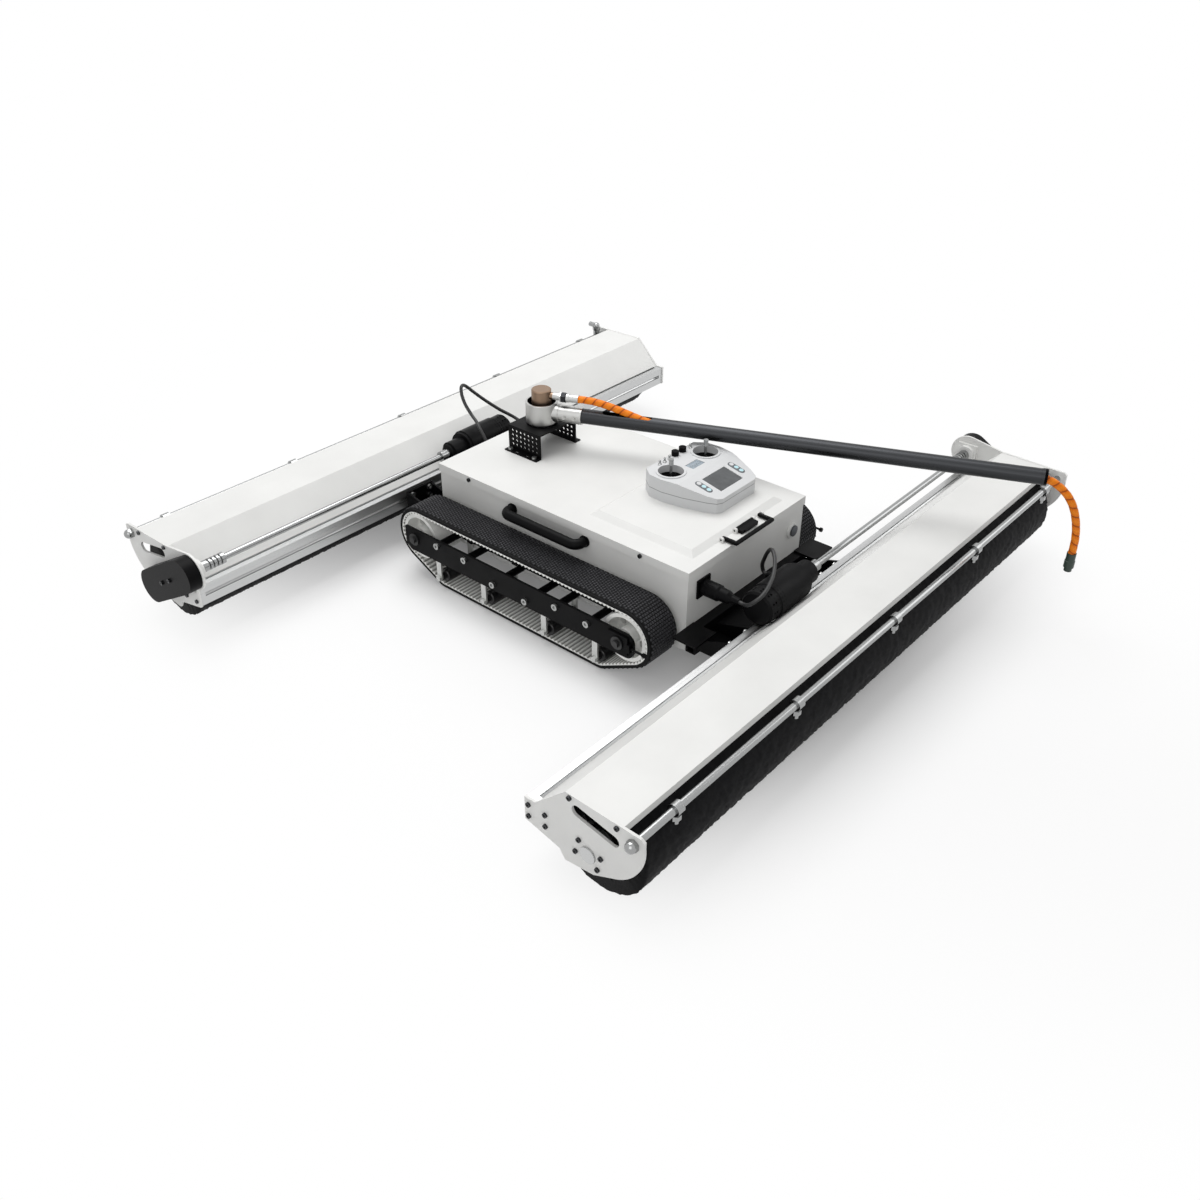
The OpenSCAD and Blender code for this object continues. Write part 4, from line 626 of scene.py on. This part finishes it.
# Dark cover glass of the screen, hazed in patches of 17 mm
glass, tree, shader = surface("dark_screen_glass", "#3b3d3f", 0.0, 0.12)
place = add(tree, "ShaderNodeTexCoord")
haze = add(tree, "ShaderNodeTexNoise", {"Vector": place.outputs["Object"], "Scale": 60.0})
tint = add(tree, "ShaderNodeValToRGB", {"Fac": haze.outputs["Fac"]})
stops(tint, (0.0, "#37393b"), (1.0, "#5b5e60"))
tree.links.new(tint.outputs["Color"], shader.inputs["Base Color"])
screen = slab("controller_screen", rounded(74.5, 48.5, 2.0), [0, 45], -1.4, -0.3, on_slope, glass,
              "hand_controller")

# Liquid-crystal display, grey-blue, its cells as faint darker blocks 6.4 by 3.6 mm
crystal, tree, shader = surface("liquid_crystal_display", "#8d99a3", 0.0, 0.18)
place = add(tree, "ShaderNodeTexCoord")
cells = add(tree, "ShaderNodeTexBrick", {"Vector": place.outputs["Object"], "Scale": 140.0,
                                         "Color1": paint("#93a0aa"), "Color2": paint("#6c7780"),
                                         "Mortar": paint("#a7b2ba"), "Mortar Size": 0.05,
                                         "Brick Width": 0.9, "Row Height": 0.5})
tree.links.new(cells.outputs["Color"], shader.inputs["Base Color"])
display = slab("controller_display", rounded(38.5, 20.5, 1.5), [0, 19], -1.9, -0.4, on_top, crystal,
               "hand_controller")

# Button strips and caps of moulded silicone
strip_grey, tree, shader = surface("grey_silicone", "#5d6165", 0.0, 0.55)
grained(tree, shader, 900.0, 0.1, 0.0002)
cap_blue, tree, shader = surface("pale_blue_silicone", "#b9dde4", 0.0, 0.4)
grained(tree, shader, 900.0, 0.1, 0.0002)
for name, x in (("left", -56), ("right", 56)):
    strip = slab(f"{name}_button_strip", rounded(15, 42, 7.2), [x, 39], -0.3, 0.6, on_slope,
                 strip_grey, "hand_controller")
    for i, d in enumerate((39, 52)):
        cap = slab(f"{name}_button_cap_{i + 1}", rounded(9.4, 9.4, 4.6), [x, d], 1.4, 1.9, on_slope,
                   cap_blue, "hand_controller", 0.2)

# Rubber dome at the bottom of each well: a quarter cosine with ribs 3.9 mm apart
dome_foot, dome_rise, dome_r, rib_rise, rib_turn = 12.2, 10.5, 24.0, 0.5, 1.6
dome = [(v, dome_foot + dome_rise * math.cos(min(v / dome_r, 1.0) * math.pi / 2)
         + rib_rise * math.cos(v * rib_turn)) for v in np.linspace(0.5, 26.2, 14)][::-1]
for name, x in (("left", -59.0), ("right", 59.0)):
    boot = lathe(f"{name}_stick_boot", dome, remote + [x, 36.0, 0.0], (0, 0, 1), 40, moulded,
                 "hand_controller")

# Toggle switches: a collar, and a lever that swells towards its tip
lever_line = [(4.2, -0.1), (4.2, 2.0), (3.6, 2.6), (2.4, 2.8), (2.2, 5.0), (2.5, 8.0),
              (2.7, 9.4), (2.0, 10.2), (0.6, 10.5)]
for i, x in enumerate((-50, -34, -18, 54)):
    lever = lathe(f"toggle_{i + 1}", lever_line, remote + [x, 72.0, remote_h], (0, 0, 1), 16,
                  steel, "hand_controller")


# Track belts
# A white polyurethane core with square inner teeth, and a thick black rubber cover bonded to it.
# The cover carries rows of small blocks for grip on glass. The loops are circles as (y, z, radius).
track_mid = 17.0
track_loops = np.array([[291.0, 106.0, 52.0], [-291.0, 106.0, 52.0], [-225.0, 30.8, 15.0],
                        [225.0, 30.8, 15.0]])
belt_in, belt_out = 208.7, 290.7


def round_loop(circles, offset, step):
    """Points a step apart round a tight belt over the circles, each with its outward direction:
    arcs on the circles and straight runs on the outer touching lines, in (y, z)."""
    c = np.array(circles, dtype=float)
    c[:, 2] += offset
    following = np.roll(c, -1, axis=0)
    d = following[:, :2] - c[:, :2]
    length = np.linalg.norm(d, axis=1)
    k = (c[:, 2] - following[:, 2]) / length
    u = d / length[:, None]
    out = u * k[:, None] + np.stack([u[:, 1], -u[:, 0]], axis=1) * np.sqrt(1 - k ** 2)[:, None]
    marks, ways = [], []
    for i in range(len(c)):
        before = out[i - 1]
        a0 = math.atan2(before[1], before[0])
        a1 = a0 + (math.atan2(out[i][1], out[i][0]) - a0) % (2 * math.pi)
        count = max(2, int(round((a1 - a0) * c[i, 2] / step)))
        a = np.linspace(a0, a1, count, endpoint=False)
        e = np.stack([np.cos(a), np.sin(a)], axis=1)
        marks.append(c[i, :2] + e * c[i, 2])
        ways.append(e)
        p = c[i, :2] + out[i] * c[i, 2]
        q = following[i, :2] + out[i] * following[i, 2]
        count = int(round(np.linalg.norm(q - p) / step))
        t = np.arange(count)[:, None] / count
        marks.append(p + (q - p) * t)
        ways.append(np.repeat(out[i][None], count, axis=0))
    return np.vstack(marks), np.vstack(ways)


def across(marks, x, side):
    """Places loop points (y, z) at the widths x on one side of the machine, in metres."""
    y = marks[:, None, 0] + track_mid
    z = marks[:, None, 1]
    x = np.broadcast_to(np.asarray(x, dtype=float), (len(marks), np.shape(x)[-1]))
    p = np.stack(np.broadcast_arrays(side * x, y, z), axis=-1) * MM
    return p + [0, MID, 0]


# Cast white polyurethane, slightly waxy; its own UV says how deep a point lies in a tooth gap,
# where painted shade greys it. Wear changes its gloss in patches of 25 mm.
core_white, tree, shader = surface("cast_white_polyurethane", "#efefec", 0.0, 0.38)
place = add(tree, "ShaderNodeTexCoord")
uv = add(tree, "ShaderNodeSeparateXYZ", {"Vector": place.outputs["UV"]})
tint = add(tree, "ShaderNodeValToRGB", {"Fac": uv.outputs["X"]})
stops(tint, (0.2, "#f1f1ee"), (0.8, "#8f8f8b"))
tree.links.new(tint.outputs["Color"], shader.inputs["Base Color"])
worn(tree, shader, place, 40.0, 0.3, 0.5, detail=4.0)


def rubber(name, dark, light, roughness):
    """Vulcanised rubber between two greys, clouded by a bloom in spots of 4 mm that also
    roughens it."""
    made, tree, shader = surface(name, dark, 0.0, roughness, 0.2)
    place = add(tree, "ShaderNodeTexCoord")
    bloom = add(tree, "ShaderNodeTexNoise", {"Vector": place.outputs["Object"], "Scale": 260.0,
                                             "Detail": 4.0})
    tint = add(tree, "ShaderNodeValToRGB", {"Fac": bloom.outputs["Fac"]})
    stops(tint, (0.35, dark), (0.7, light))
    tree.links.new(tint.outputs["Color"], shader.inputs["Base Color"])
    bump = add(tree, "ShaderNodeBump", {"Height": bloom.outputs["Fac"], "Strength": 0.3,
                                        "Distance": 0.0004})
    tree.links.new(bump.outputs["Normal"], shader.inputs["Normal"])
    return made


tread_black = rubber("black_tread_rubber", "#050506", "#0c0c0d", 0.8)
# The blocks are a lighter grey than the cover: a painted highlight on the tread's blocks
block_highlight = rubber("tread_blocks_painted_highlight", "#29292b", "#444447", 0.4)

# In mm: the core's line over the pulleys, its steps, four to a tooth, its tooth height and back;
# the cover's section as widths and heights; the blocks' line, pitch, margin and number across, and
# each block's foot and top as (rise, half side)
core_line, core_step, tooth_steps, tooth_high, core_back = 2.8, 2.5, 4, 2.5, 3.0
widths = [belt_in, belt_in, belt_in + 4, belt_in + 4, belt_out - 4, belt_out - 4, belt_out,
          belt_out]
rises = [5.8, 12.4, 12.6, 13.9, 13.9, 12.6, 12.4, 5.8]
block_line, block_pitch, block_margin, blocks_wide = 13.8, 6.7, 4.5, 11
block_squares = ((-0.2, 2.5), (1.9, 1.75))
for side, way in (("left", -1.0), ("right", 1.0)):
    # Core: the inner line steps in at each tooth, the outer line stays smooth
    marks, ways = round_loop(track_loops, core_line, core_step)
    wave = np.clip(1.5 * np.cos(np.arange(len(marks)) * 2 * np.pi / tooth_steps) + 0.5, 0, 1)
    inner = marks - ways * (tooth_high * wave)[:, None]
    outer = marks + ways * core_back
    lip = [belt_in + 0.2, belt_out - 0.2]
    ring = np.concatenate([across(inner, lip, way), across(outer, lip[::-1], way)], axis=1)
    # Painted shade: the UV carries how deep each point lies in a tooth gap, to grey it there
    gap_shade = np.stack([1 - wave, 1 - wave, 0 * wave, 0 * wave], axis=1)
    core = skin(f"{side}_belt_core", ring, core_white, "chassis", (True, True), False, False,
                np.stack([gap_shade, gap_shade], axis=-1).reshape(-1, 2))
    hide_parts(f"{side}_track_belt")
    # Cover: stepped at both edges, 1.6 mm lower than its blocks
    marks, ways = round_loop(track_loops, 0.0, 5.0)
    rows = [across(marks + ways * r, [w], way) for w, r in zip(widths, rises)]
    cover = np.concatenate(rows, axis=1)
    # Blocks: small frusta in rows that are set half a pitch apart
    marks, ways = round_loop(track_loops, block_line, block_pitch)
    along = np.stack([-ways[:, 1], ways[:, 0]], axis=1)
    pitch = (belt_out - belt_in - 2 * block_margin) / blocks_wide
    col = np.arange(blocks_wide) + 0.5
    shift = np.where(np.arange(len(marks)) % 2, 0.25, -0.25) * pitch
    cx = belt_in + block_margin + col[None, :] * pitch + shift[:, None]
    corners = []
    for lift, half in block_squares:
        for sx, sy in ((-1, -1), (1, -1), (1, 1), (-1, 1)):
            base = marks + ways * lift + along * (sy * half)
            p = np.stack(np.broadcast_arrays(way * (cx + sx * half),
                                             (base[:, 0] + track_mid)[:, None],
                                             base[:, 1][:, None]), axis=-1)
            corners.append(p.reshape(-1, 3))
    block = np.stack(corners, axis=1)
    count = len(block)
    quad = np.array([[0, 3, 2, 1], [4, 5, 6, 7], [0, 1, 5, 4], [1, 2, 6, 5], [2, 3, 7, 6],
                     [3, 0, 4, 7]])
    faces = (np.arange(count)[:, None, None] * 8 + quad[None]).reshape(-1, 4)
    if way > 0:
        faces = faces[:, ::-1]
    blocks = block.reshape(-1, 3) * MM + [0, MID, 0]
    tread = skin(f"{side}_belt_cover", cover, tread_black, "chassis", (True, True), False, False)
    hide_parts(f"{side}_track_belt")
    grip = shell(f"{side}_belt_blocks", blocks, faces.tolist(), block_highlight, "chassis", False)
    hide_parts(f"{side}_track_belt")


# Bristles
# Crimped black nylon filaments set in tufts round the roller, trimmed to one length. A filament is
# 0.5 mm across; here it is drawn 0.9 to 1.6 mm wide, so that fewer of them fill the brush. Their
# grey changes over tufts of 6 mm.
nylon, tree, shader = surface("black_nylon_filament", "#070708", 0.0, 0.6, 0.08)
place = add(tree, "ShaderNodeTexCoord")
shade = add(tree, "ShaderNodeTexNoise", {"Vector": place.outputs["Object"], "Scale": 160.0})
tint = add(tree, "ShaderNodeValToRGB", {"Fac": shade.outputs["Fac"]})
stops(tint, (0.3, "#050506"), (0.75, "#121214"))
tree.links.new(tint.outputs["Color"], shader.inputs["Base Color"])
draw = np.random.default_rng(7)
# In mm: half the brush's length and the place of its axis; the filaments' number, root, tip and
# scatter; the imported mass, whose end rings shrink to a share of its radius
brush_half, brush_out, brush_z = 722, 589.0, 96.0
filament_count, root_r, tip_r = 26000, 80.0, 94.8
short_most, lean_along, lean_turn = 9, 5.0, 0.05
mass_r, mass_rough, mass_end, mass_rings, mass_sides = 91.6, 1.4, 0.46, 240, 96


def filaments(count, low, reach):
    """Thin three-sided spikes from a low radius to near the reach: each stands on the roller at a
    random place, leans a little, and ends in a point."""
    x = draw.uniform(-brush_half, brush_half, count)
    a = draw.uniform(0, 2 * np.pi, count)
    top = reach - draw.uniform(0, 1, count) ** 3 * short_most
    tip_x = x + draw.normal(0, lean_along, count)
    tip_x = np.clip(tip_x, -brush_half - 0.5, brush_half + 0.5)
    tip_a = a + draw.normal(0, lean_turn, count)
    width = draw.uniform(0.45, 0.8, count)
    corners = np.zeros((count, 4, 3))
    for k in range(3):
        g = k * 2 * np.pi / 3
        off_a = width * np.sin(g) / low
        corners[:, k, 0] = x + width * np.cos(g)
        corners[:, k, 1] = low * np.cos(a + off_a)
        corners[:, k, 2] = low * np.sin(a + off_a)
    corners[:, 3, 0] = tip_x
    corners[:, 3, 1] = top * np.cos(tip_a)
    corners[:, 3, 2] = top * np.sin(tip_a)
    tri = np.array([[0, 2, 1], [0, 1, 3], [1, 2, 3], [2, 0, 3]])
    faces = (np.arange(count)[:, None, None] * 4 + tri[None]).reshape(-1, 3)
    return corners.reshape(-1, 3), faces


for end, way in (("front", -1.0), ("rear", 1.0)):
    spikes, faces = filaments(filament_count, root_r, tip_r)
    # Packed mass of filaments that fills the brush up to its loose tips, drawn in at both ends
    a = np.linspace(0, 2 * np.pi, mass_sides, endpoint=False)
    x = np.linspace(-brush_half, brush_half, mass_rings)
    r = mass_r + draw.uniform(-mass_rough, mass_rough, (mass_rings, mass_sides))
    mass = np.stack([np.broadcast_to(x[:, None], r.shape), r * np.cos(a), r * np.sin(a)], axis=-1)
    drawn_in = [1, mass_end, mass_end]
    mass = np.concatenate([mass[:1] * drawn_in, mass, mass[-1:] * drawn_in])
    centre = np.array([0, way * brush_out, brush_z])
    brush = shell(f"{end}_filaments", (spikes + centre) * MM + [0, MID, 0], faces.tolist(), nylon,
                  f"{end}_brush", False)
    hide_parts(f"{end}_bristles")
    fill = skin(f"{end}_brush_mass", (mass + centre) * MM + [0, MID, 0], nylon,
                f"{end}_brush", (False, True), True, True)
    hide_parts(f"{end}_bristles")


# Hidden pieces
# The battery in its plastic case sits inside the chassis, and the rubber brush belts run inside
# their covers. Nothing of them shows, so they share the black moulded finish.
dress(moulded, "battery_pack", "brush_belts")


# Studio
# A white seamless floor under three soft lamps. The paper glows white for the eye, but less under
# the machine, where the lamps' own light and shadow have to show: near the middle its glow is
# glow_low, and from glow_far on it is full. The dim spot is half as wide in x as in y.
glow_near, glow_far, glow_low = 0.3, 2.0, 0.12
floor_half, floor_z, room_light = 15, -0.0005, 0.38
studio, tree, shader = surface("white_studio_paper", "#f4f4f4", 0.0, 0.9)
place = add(tree, "ShaderNodeTexCoord")
oval = add(tree, "ShaderNodeVectorMath", {0: place.outputs["Object"], 1: (2.0, 1.0, 1.0)},
           operation="MULTIPLY")
away = add(tree, "ShaderNodeVectorMath", {0: oval.outputs[0]}, operation="LENGTH")
share = add(tree, "ShaderNodeMapRange", {"Value": away.outputs["Value"],
                                         "From Min": glow_near, "From Max": glow_far,
                                         "To Min": glow_low, "To Max": 1.0},
            interpolation_type="SMOOTHSTEP")


def seen_rays(tree):
    """One for a ray that shows its target to the eye: straight, by reflection or through glass."""
    path = add(tree, "ShaderNodeLightPath")
    seen = add(tree, "ShaderNodeMath", {0: path.outputs["Is Camera Ray"],
                                        1: path.outputs["Is Glossy Ray"]}, operation="MAXIMUM")
    return add(tree, "ShaderNodeMath", {0: seen.outputs[0],
                                        1: path.outputs["Is Transmission Ray"]},
               operation="MAXIMUM")


seen = add(tree, "ShaderNodeMath", {0: seen_rays(tree).outputs[0], 1: share.outputs[0]},
           operation="MULTIPLY")
glow = add(tree, "ShaderNodeEmission", {"Color": (1, 1, 1, 1), "Strength": 1.0})
mix = add(tree, "ShaderNodeMixShader", {0: seen.outputs[0], 1: shader.outputs[0],
                                        2: glow.outputs[0]})
tree.links.new(mix.outputs[0], tree.nodes["Material Output"].inputs["Surface"])
mesh = bpy.data.meshes.new("studio_floor")
mesh.from_pydata([(x * floor_half, y * floor_half, floor_z)
                  for x, y in ((-1, -1), (1, -1), (1, 1), (-1, 1))], [], [(0, 1, 2, 3)])
mesh.materials.append(studio)
floor = bpy.data.objects.new("studio_floor", mesh)
bpy.context.scene.collection.objects.link(floor)
world = bpy.data.worlds.new("studio")
world.use_nodes = True
bpy.context.scene.world = world
tree = world.node_tree
back = tree.nodes["Background"]
back.inputs["Color"].default_value = (1, 1, 1, 1)
level = add(tree, "ShaderNodeMapRange", {"Value": seen_rays(tree).outputs[0],
                                         "To Min": room_light, "To Max": 1.0})
tree.links.new(level.outputs["Result"], back.inputs["Strength"])
# Lamps: place, size in metres and power in watts, each aimed at the middle of the machine
middle = np.array([0.0, 0.0, 0.15])
for name, place, size, power in (("key", (0.4, 1.0, 3.6), 3.0, 113.0),
                                 ("fill", (-3.0, -1.6, 2.2), 2.5, 26.0),
                                 ("edge", (2.8, -1.8, 2.0), 1.8, 16.0)):
    lamp = bpy.data.lights.new(name, "AREA")
    lamp.size = size
    lamp.energy = power
    light = bpy.data.objects.new(name, lamp)
    light.location = place
    aim = middle - np.array(place)
    light.rotation_euler = (math.atan2(math.hypot(aim[0], aim[1]), -aim[2]), 0.0,
                            math.atan2(aim[1], aim[0]) - math.pi / 2)
    bpy.context.scene.collection.objects.link(light)
bpy.context.scene.view_settings.view_transform = "Standard"
